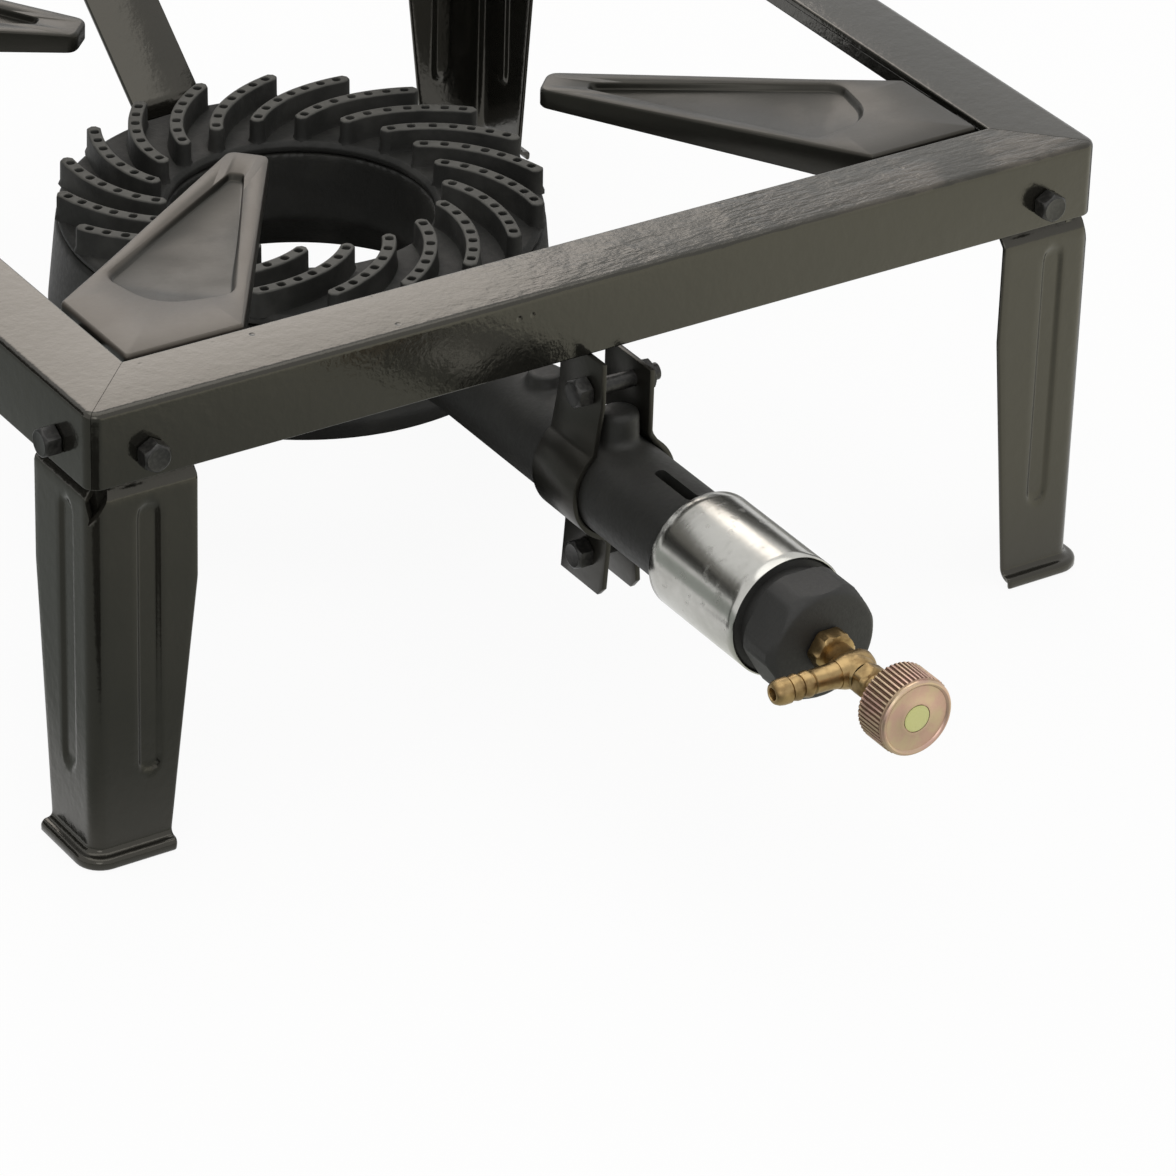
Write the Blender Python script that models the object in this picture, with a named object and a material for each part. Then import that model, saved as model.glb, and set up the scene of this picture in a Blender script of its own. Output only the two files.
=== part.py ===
"""Propane burner stand: a square angle-iron frame on four pressed legs, with a cast spiral-rib burner ring.

Metres, +Z up, feet on z = 0, the mixer tube and its valve reach out along -Y.
"""

import math

import bmesh
import bpy
from mathutils import Matrix, Vector

MM = 0.001

# Frame of angle bar
FRAME_SIDE = 400 * MM
FRAME_HEIGHT = 170 * MM
ANGLE_WIDTH = 28 * MM
ANGLE_THICK = 3 * MM
CORNER_RADIUS = 5 * MM

# Pressed legs
LEG_THICK = 1.8 * MM
LEG_TOP_WIDTH = 39.5 * MM
LEG_FOOT_WIDTH = 27.5 * MM
LEG_STRAIGHT = 36 * MM
LEG_TAB_DROP = 5 * MM
JOGGLE = 3.5 * MM
FOOT_LIP = 4.5 * MM
GROOVE_WIDTH = 8.5 * MM
GROOVE_DEPTH = 2 * MM
GROOVE_TOP_DROP = 10 * MM
GROOVE_FOOT_RISE = 31 * MM

# Pot supports
SUPPORT_THICK = 1.8 * MM
SUPPORT_GAP = 2.5 * MM
SUPPORT_EDGE = 44 * MM
SUPPORT_TIP_RADIUS = 84.5 * MM
SUPPORT_TIP_WIDTH = 14 * MM
SUPPORT_RECESS = 2.5 * MM
SUPPORT_RIM_TIP = 7 * MM
SUPPORT_RIM_BASE = 11 * MM
SUPPORT_RIM_BACK = 6 * MM
WELD_TAB_WIDTH = 14 * MM
WELD_TAB_REACH = 9 * MM

# Hexagon fasteners
BOLT_RADIUS = 3 * MM
BOLT_HEAD_FLATS = 10 * MM
BOLT_HEAD_HIGH = 6 * MM
NUT_HIGH = 4.5 * MM
LEG_BOLT_INSET = 22 * MM

# Burner casting, centred on the ring's axis
BURNER_Y = 6 * MM
RIB_COUNT = 20
RIB_WIDTH = 6 * MM
RIB_HIGH = 9 * MM
BURNER_DROP = 56 * MM
RIB_INNER = 50.5 * MM
RIB_OUTER = 87 * MM
RIB_SWEEP = math.radians(30.5)
RIB_PHASE = math.radians(24.7)
DECK_THICK = 4 * MM
DECK_INNER = 48.5 * MM
DECK_OUTER = 87.5 * MM
BOWL_WALL = 4 * MM
BOWL_BELLY = 92 * MM
BOWL_DEEP = 62 * MM
BOWL_INNER_DEEP = 44.5 * MM

# Mixer tube; reaches are measured out from the front bar's face
TUBE_DROP = 21.5 * MM
TUBE_RADIUS = 17.8 * MM
TUBE_BORE = 13.5 * MM
THROAT_BORE = 7.5 * MM
THROAT_END = 112 * MM
MOUTH_RADIUS = 20.8 * MM
MOUTH_START_REACH = 59 * MM
MOUTH_END_REACH = 104.5 * MM
SLOT_REACH = 37 * MM
SLOT_LONG = 49 * MM
SLOT_WIDTH = 8 * MM
BOSS_RADIUS = 6.5 * MM
BOSS_RISE = 29 * MM
BOSS_REACH = 5 * MM
REAR_BOSS_RISE = 21.5 * MM
REAR_BOSS_REACH = -41 * MM

# Tube clamp hung from the front bar
CLAMP_THICK = 2 * MM
CLAMP_HALF_GAP = 8 * MM
EAR_HALF_GAP = 4 * MM
CLAMP_BACK_REACH = -17.5 * MM
HANGER_REACH = 8.5 * MM
CLAMP_REACH = 10.5 * MM
CLAMP_RISE = 43.5 * MM
HANGER_DROP = 12 * MM
EAR_DROP = 41.5 * MM
CLAMP_BOLT_REACH = 0 * MM
CLAMP_BOLT_EDGE = 7.5 * MM
EAR_BOLT_REACH = -3 * MM
EAR_BOLT_EDGE = 12.5 * MM

# Rear strap
STRAP_WIDTH = 28 * MM
STRAP_THICK = 2.5 * MM
STRAP_DROP = 13.5 * MM
STRAP_BEND_RISE = 10.5 * MM
STRAP_SETBACK = 3 * MM
STRAP_LAP = 13 * MM
LUG_END = 96.7 * MM
LUG_DROP = 14.5 * MM
LUG_RISE = 6.5 * MM
STRAP_BOLT_DROP = 4 * MM
STRAP_BOLT_DEEP = 5 * MM

# Air sleeve, cap and valve
SLEEVE_REACH = 57.5 * MM
SLEEVE_LONG = 50 * MM
SLEEVE_WALL = 0.8 * MM
CAP_FLANGE_LONG = 6 * MM
CAP_LONG = 24.5 * MM
CAP_FLATS = 39 * MM
CAP_CORNER = 21.2 * MM
CAP_BORE = 3.2 * MM
SPIGOT_LONG = 16 * MM
JET_LONG = 7 * MM
JET_RADIUS = 4 * MM
VALVE_HEX_FLATS = 14 * MM
VALVE_HEX_LONG = 9 * MM
VALVE_BODY_RADIUS = 7.5 * MM
VALVE_LONG = 22 * MM
BARB_LONG = 24 * MM
BARB_BORE = 2 * MM
BARB_RADIUS = 4.3 * MM
GLAND_FLATS = 11 * MM
GLAND_LONG = 9 * MM
SPINDLE_RADIUS = 2.5 * MM
KNOB_RADIUS = 14 * MM
KNOB_LONG = 15 * MM
KNOB_GAP = 5.5 * MM
DISC_RADIUS = 4.7 * MM
DISC_THICK = 0.7 * MM

# Clearances
GAP = 0.3 * MM
MITRE_GAP = 0.2 * MM
BOLT_CLEARANCE = 0.3 * MM

HALF = FRAME_SIDE / 2
FRONT_BAR_AT = HALF + BURNER_Y
RIB_TOP = FRAME_HEIGHT - BURNER_DROP
DECK_TOP = RIB_TOP - RIB_HIGH
DECK_BOTTOM = DECK_TOP - DECK_THICK
BOWL_TOP = DECK_BOTTOM - GAP
BOWL_BOTTOM = RIB_TOP - BOWL_DEEP
BOWL_INNER_BOTTOM = RIB_TOP - BOWL_INNER_DEEP
TUBE_Z = RIB_TOP - TUBE_DROP
MOUTH_START = FRONT_BAR_AT + MOUTH_START_REACH
MOUTH_END = FRONT_BAR_AT + MOUTH_END_REACH
SLOT_START = FRONT_BAR_AT + SLOT_REACH
SLOT_END = SLOT_START + SLOT_LONG
BOSS_TOP = TUBE_Z + BOSS_RISE
BOSS_AT = FRONT_BAR_AT + BOSS_REACH
REAR_BOSS_TOP = TUBE_Z + REAR_BOSS_RISE
REAR_BOSS_AT = FRONT_BAR_AT + REAR_BOSS_REACH
CLAMP_BACK = FRONT_BAR_AT + CLAMP_BACK_REACH
HANGER_FRONT = FRONT_BAR_AT + HANGER_REACH
CLAMP_FRONT = FRONT_BAR_AT + CLAMP_REACH
CLAMP_TOP = TUBE_Z + CLAMP_RISE
HANGER_TOP = FRAME_HEIGHT - HANGER_DROP
EAR_BOTTOM = TUBE_Z - EAR_DROP
CLAMP_BOLT_AT = FRONT_BAR_AT + CLAMP_BOLT_REACH
CLAMP_BOLT_Z = CLAMP_TOP - CLAMP_BOLT_EDGE
EAR_BOLT_AT = FRONT_BAR_AT + EAR_BOLT_REACH
EAR_BOLT_Z = EAR_BOTTOM + EAR_BOLT_EDGE
STRAP_LOW = TUBE_Z - STRAP_DROP
STRAP_BEND = TUBE_Z + STRAP_BEND_RISE
STRAP_BOLT_Z = TUBE_Z - STRAP_BOLT_DROP
LUG_LOW = TUBE_Z - LUG_DROP
LUG_TOP = TUBE_Z + LUG_RISE
SLEEVE_START = FRONT_BAR_AT + SLEEVE_REACH
CAP_START = MOUTH_END + GAP
CAP_END = CAP_START + CAP_LONG
VALVE_START = CAP_END + GAP
VALVE_END = VALVE_START + VALVE_LONG
BARB_AT = VALVE_END - VALVE_BODY_RADIUS + 1.5 * MM
GLAND_START = VALVE_END + GAP
GLAND_END = GLAND_START + GLAND_LONG
KNOB_START = GLAND_END + KNOB_GAP
KNOB_END = KNOB_START + KNOB_LONG
HOLE_RADIUS = BOLT_RADIUS + BOLT_CLEARANCE
LEG_BOLT_Z = FRAME_HEIGHT - ANGLE_WIDTH * 0.65
STRAP_END = HALF - ANGLE_THICK - BURNER_Y - STRAP_SETBACK


def clear_scene():
    for obj in list(bpy.data.objects):
        bpy.data.objects.remove(obj, do_unlink=True)


def make_material(name, colour, roughness, metallic):
    material = bpy.data.materials.new(name)
    material.use_nodes = True
    shader = material.node_tree.nodes["Principled BSDF"]
    shader.inputs["Base Color"].default_value = (*colour, 1.0)
    shader.inputs["Roughness"].default_value = roughness
    shader.inputs["Metallic"].default_value = metallic
    return material


def make_object(name, verts, faces, material, parent=None):
    mesh = bpy.data.meshes.new(name)
    shape = bmesh.new()
    points = [shape.verts.new(v) for v in verts]
    for face in faces:
        shape.faces.new([points[i] for i in face])
    bmesh.ops.remove_doubles(shape, verts=shape.verts, dist=1e-6)
    bmesh.ops.dissolve_degenerate(shape, edges=shape.edges, dist=1e-7)
    bmesh.ops.recalc_face_normals(shape, faces=shape.faces)
    shape.to_mesh(mesh)
    shape.free()
    obj = bpy.data.objects.new(name, mesh)
    bpy.context.scene.collection.objects.link(obj)
    if material:
        mesh.materials.append(material)
    obj.parent = parent
    return obj


def make_empty(name, parent=None, location=(0, 0, 0)):
    empty = bpy.data.objects.new(name, None)
    bpy.context.scene.collection.objects.link(empty)
    empty.parent = parent
    empty.location = location
    return empty


def loft_faces(count, size, closed):
    """Quads between rings of points, with the ends joined up or capped."""
    faces = []
    last = count if closed else count - 1
    for i in range(last):
        a, b = i * size, (i + 1) % count * size
        for j in range(size):
            k = (j + 1) % size
            faces.append((a + j, a + k, b + k, b + j))
    if not closed:
        faces.append(tuple(range(size)))
        faces.append(tuple(range((count - 1) * size, count * size)))
    return faces


def make_loft(name, rings, material, parent=None, closed=False):
    verts = [point for ring in rings for point in ring]
    return make_object(name, verts, loft_faces(len(rings), len(rings[0]), closed), material, parent)


def circle_at(angle, radius):
    return radius


def hexagon(flats, corner):
    """Radius of a hexagon whose corners are rounded off at a given radius."""
    def at(angle, radius):
        turn = (angle + math.pi / 6) % (math.pi / 3) - math.pi / 6
        return min(flats / 2 / math.cos(turn), corner)
    return at


def along_tube(radius, angle, distance):
    return Vector((radius * math.cos(angle), -distance, TUBE_Z + radius * math.sin(angle)))


def along_z(radius, angle, height):
    return Vector((radius * math.cos(angle), radius * math.sin(angle), height))


def along_barb(radius, angle, distance):
    return Vector((-distance, -BARB_AT + radius * math.cos(angle), TUBE_Z + radius * math.sin(angle)))


def make_turned(name, profile, place, material, parent=None, steps=32, closed=True):
    """A turned piece: profile entries are (radius, distance) or (radius, distance, shape)."""
    rings = []
    for entry in profile:
        radius, distance = entry[:2]
        shape = entry[2] if len(entry) > 2 else circle_at
        angles = [2 * math.pi * j / steps for j in range(steps)]
        rings.append([place(shape(a, radius), a, distance) for a in angles])
    return make_loft(name, rings, material, parent, closed)


def make_prism(name, outline, low, high, material, parent=None):
    rings = [[Vector((x, y, z)) for x, y in outline] for z in (low, high)]
    return make_loft(name, rings, material, parent)


def make_box(name, low, high, parent=None, material=None):
    outline = [(low[0], low[1]), (high[0], low[1]), (high[0], high[1]), (low[0], high[1])]
    return make_prism(name, outline, low[2], high[2], material, parent)


def combine(obj, other, operation):
    """Joins or cuts one closed mesh with another, and removes the second."""
    modifier = obj.modifiers.new(operation.lower(), "BOOLEAN")
    modifier.operation = operation
    modifier.solver = "EXACT"
    modifier.object = other
    bpy.context.view_layer.update()
    graph = bpy.context.evaluated_depsgraph_get()
    result = bpy.data.meshes.new_from_object(obj.evaluated_get(graph))
    obj.modifiers.clear()
    materials = list(obj.data.materials)
    obj.data = result
    obj.data.materials.clear()
    for material in materials:
        obj.data.materials.append(material)
    bpy.data.objects.remove(other, do_unlink=True)


def cut(obj, other):
    combine(obj, other, "DIFFERENCE")


def join(obj, other):
    combine(obj, other, "UNION")


def rod_between(name, start, end, radius, parent=None, steps=12, material=None):
    start, end = Vector(start), Vector(end)
    turn = (end - start).to_track_quat("Z", "Y").to_matrix()
    rings = []
    for centre in (start, end):
        angles = [2 * math.pi * (j + 0.5) / steps for j in range(steps)]
        ring = [centre + turn @ Vector((radius * math.cos(a), radius * math.sin(a), 0)) for a in angles]
        rings.append(ring)
    return make_loft(name, rings, material, parent)


def make_bolt(name, seat, inward, length, material, parent):
    """Hexagon bolt: the head's underside is at the seat and the shank runs inward."""
    inward = Vector(inward)
    turn = inward.to_track_quat("Z", "Y").to_matrix()
    head = hexagon(BOLT_HEAD_FLATS, BOLT_HEAD_FLATS)
    rings = []
    crown = BOLT_HEAD_FLATS / 2 * 0.9
    for radius, along, shape in (
        (crown, -BOLT_HEAD_HIGH, circle_at),
        (0, -BOLT_HEAD_HIGH * 0.8, head),
        (0, 0, head),
        (BOLT_RADIUS, 0, circle_at),
        (BOLT_RADIUS, length - 0.6 * MM, circle_at),
        (BOLT_RADIUS - 0.6 * MM, length, circle_at),
    ):
        angles = [2 * math.pi * j / 12 + math.pi / 6 for j in range(12)]
        ring = []
        for a in angles:
            r = shape(a, radius)
            ring.append(Vector(seat) + turn @ Vector((r * math.cos(a), r * math.sin(a), along)))
        rings.append(ring)
    return make_loft(name, rings, material, parent)


def make_nut(name, seat, inward, material, parent):
    """Hexagon nut that stands on the seat and grows inward."""
    turn = Vector(inward).to_track_quat("Z", "Y").to_matrix()
    flats = hexagon(BOLT_HEAD_FLATS, BOLT_HEAD_FLATS)
    rings = []
    for radius, along, shape in (
        (HOLE_RADIUS, 0, circle_at),
        (0, 0, flats),
        (0, NUT_HIGH * 0.85, flats),
        (BOLT_HEAD_FLATS / 2 * 0.9, NUT_HIGH, circle_at),
        (HOLE_RADIUS, NUT_HIGH, circle_at),
    ):
        angles = [2 * math.pi * j / 12 + math.pi / 6 for j in range(12)]
        ring = []
        for a in angles:
            r = shape(a, radius)
            ring.append(Vector(seat) + turn @ Vector((r * math.cos(a), r * math.sin(a), along)))
        rings.append(ring)
    return make_loft(name, rings, material, parent, closed=True)


def side_turn(index):
    """Turns the front side (at -Y) into the right, back and left ones."""
    return Matrix.Rotation(math.pi / 2 * index, 4, "Z")


def make_frame_bar(name, index, material, root):
    """Angle bar with mitred top flange; its upright flange curves half-way round each corner."""
    turn = side_turn(index)
    stations = []
    centre = HALF - CORNER_RADIUS
    inner = HALF - ANGLE_WIDTH
    arc = [math.radians(225 + 15 * k) for k in range(4)]
    for side, angles in ((-1, arc), (1, [math.radians(540) - a for a in reversed(arc)])):
        for a in angles:
            stations.append((side, math.cos(a), math.sin(a)))
    rings = []
    for side, c, s in stations:
        base = Vector((side * (centre - MITRE_GAP), -centre, 0))
        out = base + Vector((c, s, 0)) * CORNER_RADIUS
        inside = base + Vector((c, s, 0)) * (CORNER_RADIUS - ANGLE_THICK)
        tip = Vector((side * (inner - MITRE_GAP), -inner, 0))
        low = FRAME_HEIGHT - ANGLE_WIDTH
        under = FRAME_HEIGHT - ANGLE_THICK
        ring = []
        for point, z in ((out, low), (out, FRAME_HEIGHT), (tip, FRAME_HEIGHT),
                         (tip, under), (inside, under), (inside, low)):
            ring.append(turn @ Vector((point.x, point.y, z)))
        rings.append(ring)
    bar = make_loft(name, rings, material, root)
    for side in (-1, 1):
        x = side * (HALF - LEG_BOLT_INSET)
        start = turn @ Vector((x, -HALF - 5 * MM, LEG_BOLT_Z))
        end = turn @ Vector((x, -HALF + ANGLE_THICK + 5 * MM, LEG_BOLT_Z))
        cut(bar, rod_between("bar_hole", start, end, HOLE_RADIUS, root))
    return bar


def leg_rows():
    """(offset out of the frame's face, height, groove share) for the outer and inner skins."""
    frame_low = FRAME_HEIGHT - ANGLE_WIDTH
    tab = -ANGLE_THICK - GAP
    groove_top = frame_low - GROOVE_TOP_DROP
    outer = [
        (tab, FRAME_HEIGHT - ANGLE_THICK - LEG_TAB_DROP, 0),
        (tab, frame_low - GAP, 0),
        (0, frame_low - JOGGLE, 0),
        (0, groove_top, 0),
        (0, groove_top - 4 * MM, 1),
        (0, frame_low - LEG_STRAIGHT, 1),
        (0, GROOVE_FOOT_RISE + 4 * MM, 1),
        (0, GROOVE_FOOT_RISE, 0),
        (0, LEG_THICK + 2.5 * MM, 0),
        (FOOT_LIP * 0.35, LEG_THICK, 0),
        (FOOT_LIP, LEG_THICK, 0),
    ]
    inner = [(d - LEG_THICK, z, g) for d, z, g in outer[:-3]]
    inner += [
        (-LEG_THICK, LEG_THICK + 0.8 * MM, 0),
        (FOOT_LIP * 0.35 - LEG_THICK * 0.6, 0, 0),
        (FOOT_LIP, 0, 0),
    ]
    inner[1] = (tab - LEG_THICK, frame_low - GAP - 0.8 * MM, 0)
    inner[2] = (-LEG_THICK, frame_low - JOGGLE - 0.8 * MM, 0)
    return outer, inner


def leg_width(z):
    straight = FRAME_HEIGHT - ANGLE_WIDTH - LEG_STRAIGHT
    share = min(1, max(0, z / straight))
    return LEG_FOOT_WIDTH + (LEG_TOP_WIDTH - LEG_FOOT_WIDTH) * share


def leg_ring(offset, z, groove):
    """One level of a leg's skin, from the end of one face round the corner to the other's."""
    width = leg_width(z)
    corner = CORNER_RADIUS
    middle = corner + (width - corner) * 0.5
    half = GROOVE_WIDTH / 2
    face = [
        (width, 0),
        (middle + half, 0),
        (middle + half * 0.45, 1),
        (middle - half * 0.45, 1),
        (middle - half, 0),
        (corner, 0),
    ]
    points = []
    for along, sunk in face:
        points.append((along, -offset + sunk * groove * GROOVE_DEPTH))
    for k in (1, 2):
        a = math.pi / 2 * k / 3
        r = corner + offset
        points.append((corner - r * math.sin(a), corner - r * math.cos(a)))
    for along, sunk in reversed(face):
        points.append((-offset + sunk * groove * GROOVE_DEPTH, along))
    return points


def make_leg(name, index, material, root):
    """Pressed sheet angle: tab behind the frame, one groove in each face and an out-turned foot."""
    turn = side_turn(index) @ Matrix.Translation((-HALF, -HALF, 0))
    outer, inner = leg_rows()
    rings = []
    for skin in (outer, list(reversed(inner))):
        for offset, z, groove in skin:
            ring = [turn @ Vector((x, y, z)) for x, y in leg_ring(offset, z, groove)]
            rings.append(ring)
    size, rows = len(rings[0]), len(rings)
    verts = [point for ring in rings for point in ring]
    faces = []
    for i in range(rows):
        a, b = i * size, (i + 1) % rows * size
        for j in range(size - 1):
            faces.append((a + j, a + j + 1, b + j + 1, b + j))
    for j in (0, size - 1):
        for i in range(rows // 2 - 1):
            k = rows - 1 - i
            faces.append((i * size + j, (i + 1) * size + j, (k - 1) * size + j, k * size + j))
    leg = make_object(name, verts, faces, material, root)
    skin = ANGLE_THICK + GAP
    for axis in (0, 1):
        ends = []
        for depth in (skin - 3 * MM, skin + LEG_THICK + 3 * MM):
            point = (LEG_BOLT_INSET, depth) if axis == 0 else (depth, LEG_BOLT_INSET)
            ends.append(turn @ Vector((*point, LEG_BOLT_Z)))
        cut(leg, rod_between("leg_hole", ends[0], ends[1], HOLE_RADIUS, root))
    return leg


def make_leg_fasteners(corner, index, steel, root):
    """One bolt and nut through each face of a leg and the bar in front of it."""
    turn = side_turn(index) @ Matrix.Translation((-HALF, -HALF, 0))
    spin = side_turn(index)
    grip = ANGLE_THICK + GAP + LEG_THICK
    length = grip + 2 * GAP + NUT_HIGH + 2 * MM
    for axis, label in ((0, "a"), (1, "b")):
        inward = Vector((0, 1, 0)) if axis == 0 else Vector((1, 0, 0))
        sideways = Vector((1, 0, 0)) if axis == 0 else Vector((0, 1, 0))
        face = sideways * LEG_BOLT_INSET + Vector((0, 0, LEG_BOLT_Z))
        way = spin @ inward
        seat = turn @ (face - inward * GAP)
        back = turn @ (face + inward * (grip + GAP))
        make_bolt(f"leg_bolt_{corner}_{label}", seat, way, length, steel, root)
        make_nut(f"leg_nut_{corner}_{label}", back, way, steel, root)


def ray_radius(polygon, angle):
    """Distance from the origin to a star-shaped polygon in one direction."""
    way = Vector((math.cos(angle), math.sin(angle)))
    best = 0
    for i, first in enumerate(polygon):
        a, b = Vector(first), Vector(polygon[(i + 1) % len(polygon)])
        edge = b - a
        cross = way.x * edge.y - way.y * edge.x
        if abs(cross) < 1e-12:
            continue
        share = (a.x * way.y - a.y * way.x) / cross
        along = (a.x * edge.y - a.y * edge.x) / cross
        if -1e-9 <= share <= 1 + 1e-9 and along > best:
            best = along
    return best


def rounded(polygon, radius, steps=4):
    """Polygon with each corner replaced by a quadratic curve."""
    points = []
    for i, here in enumerate(polygon):
        here = Vector(here)
        before, after = Vector(polygon[i - 1]), Vector(polygon[(i + 1) % len(polygon)])
        reach = radius[i] if isinstance(radius, (list, tuple)) else radius
        start = here + (before - here).normalized() * reach
        end = here + (after - here).normalized() * reach
        for k in range(steps + 1):
            t = k / steps
            points.append(tuple(start * (1 - t) ** 2 + here * 2 * t * (1 - t) + end * t ** 2))
    return points


def make_pot_support(name, index, material, root):
    """Pentagonal pressed gusset: turned-down edges, a sunk panel and two weld tabs under the bars."""
    reach = HALF - ANGLE_WIDTH - SUPPORT_GAP
    base_corner = reach * math.sqrt(2)
    tip = SUPPORT_TIP_RADIUS
    back = base_corner - SUPPORT_EDGE / math.sqrt(2)
    wing = SUPPORT_EDGE / math.sqrt(2)
    tip_half = SUPPORT_TIP_WIDTH / 2
    outline = [(tip, -tip_half), (back, -wing), (base_corner, 0), (back, wing), (tip, tip_half)]
    pivot = Vector((tip + (base_corner - tip) * 0.62, 0))
    local = [(x - pivot.x, y) for x, y in outline]
    top = rounded(local, [3 * MM, 2 * MM, 2 * MM, 2 * MM, 3 * MM], 2)
    recess_tip = tip + 24 * MM - pivot.x
    recess_back = back - 2 * MM - pivot.x
    recess_wide = back - 21 * MM - pivot.x
    recess_half = wing - 8.5 * MM
    teardrop = [(recess_tip, 0), (recess_wide, -recess_half), (recess_back, 0), (recess_wide, recess_half)]
    panel = rounded(teardrop, [9 * MM, 9 * MM, 12 * MM, 9 * MM], 4)
    angles = sorted({round(math.atan2(y, x) % (2 * math.pi), 6) for x, y in top + panel})
    turn = side_turn(index) @ Matrix.Rotation(math.pi * 1.25, 4, "Z")

    def ring(polygon, inset, height):
        points = []
        for a in angles:
            r = ray_radius(polygon, a) - inset
            x, y = pivot.x + r * math.cos(a), r * math.sin(a)
            points.append(turn @ Vector((x, y, height(x, y))))
        return points

    def rim(x, y):
        share = min(1, max(0, (x - tip) / (back - tip)))
        depth = SUPPORT_RIM_TIP + (SUPPORT_RIM_BASE - SUPPORT_RIM_TIP) * share
        if x > back + 0.5 * MM:
            depth = SUPPORT_RIM_BACK
        return FRAME_HEIGHT - depth

    def level(drop):
        return lambda x, y: FRAME_HEIGHT - drop

    t = SUPPORT_THICK
    floor = SUPPORT_RECESS
    slope = 2.5 * MM
    rings = [
        ring(panel, slope, level(floor)),
        ring(panel, 0, level(0)),
        ring(top, 0.8 * MM, level(0)),
        ring(top, 0, level(0.8 * MM)),
        ring(top, 0, rim),
        ring(top, t, rim),
        ring(top, t, level(t)),
        ring(panel, -0.3 * MM, level(t)),
        ring(panel, slope, level(floor + t)),
    ]
    support = make_loft(name, rings, material, root)
    bars_under = FRAME_HEIGHT - ANGLE_THICK - GAP
    for side in (-1, 1):
        low = Vector((base_corner, 0, 0))
        way = Vector((-1, side, 0)).normalized()
        across = Vector((1, side, 0)).normalized()
        start = low + way * (SUPPORT_EDGE * 0.42)
        root_in = -t * 0.7
        tab = ((0, root_in), (WELD_TAB_WIDTH, root_in), (WELD_TAB_WIDTH, WELD_TAB_REACH), (0, WELD_TAB_REACH))
        corners = []
        for along, out in tab:
            point = turn @ (start + way * along + across * out)
            corners.append((point.x, point.y))
        join(support, make_prism("weld_tab", corners, bars_under - t, bars_under, None, root))
    return support


def rib_point(share, offset, turn):
    """A point beside a rib's centre line; the line bends towards the tangent as it runs out."""
    def centre(at):
        radius = RIB_INNER + (RIB_OUTER - RIB_INNER) * at ** 0.86
        angle = RIB_PHASE - RIB_SWEEP * at + turn
        return Vector((radius * math.cos(angle), radius * math.sin(angle)))
    here = centre(share)
    way = (centre(min(1, share + 0.01)) - centre(max(0, share - 0.01))).normalized()
    return here + Vector((-way.y, way.x)) * offset


def make_burner_crown(material, parent):
    """Deck ring that carries the curved ribs of the flame ports."""
    deck = [
        (DECK_INNER, DECK_BOTTOM),
        (DECK_OUTER, DECK_BOTTOM),
        (DECK_OUTER, DECK_TOP),
        (DECK_INNER, DECK_TOP),
    ]
    crown = make_turned("burner_crown", deck, along_z, material, parent, steps=4 * RIB_COUNT)
    half = RIB_WIDTH / 2
    verts, faces = [], []
    for rib in range(RIB_COUNT):
        turn = -2 * math.pi * rib / RIB_COUNT
        outline = [rib_point(0, -half * 0.5, turn)]
        shares = [0.06, 0.24, 0.42, 0.6, 0.78, 0.95]
        outline += [rib_point(s, -half, turn) for s in shares]
        outline += [rib_point(1, -half * 0.5, turn), rib_point(1, half * 0.5, turn)]
        outline += [rib_point(s, half, turn) for s in reversed(shares)]
        outline += [rib_point(0, half * 0.5, turn)]
        start, size = len(verts), len(outline)
        for z in (DECK_TOP - 1 * MM, RIB_TOP):
            verts += [Vector((p.x, p.y, z)) for p in outline]
        faces += [tuple(start + i for i in face) for face in loft_faces(2, size, False)]
    join(crown, make_object("ribs", verts, faces, None, parent))
    return crown


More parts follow.
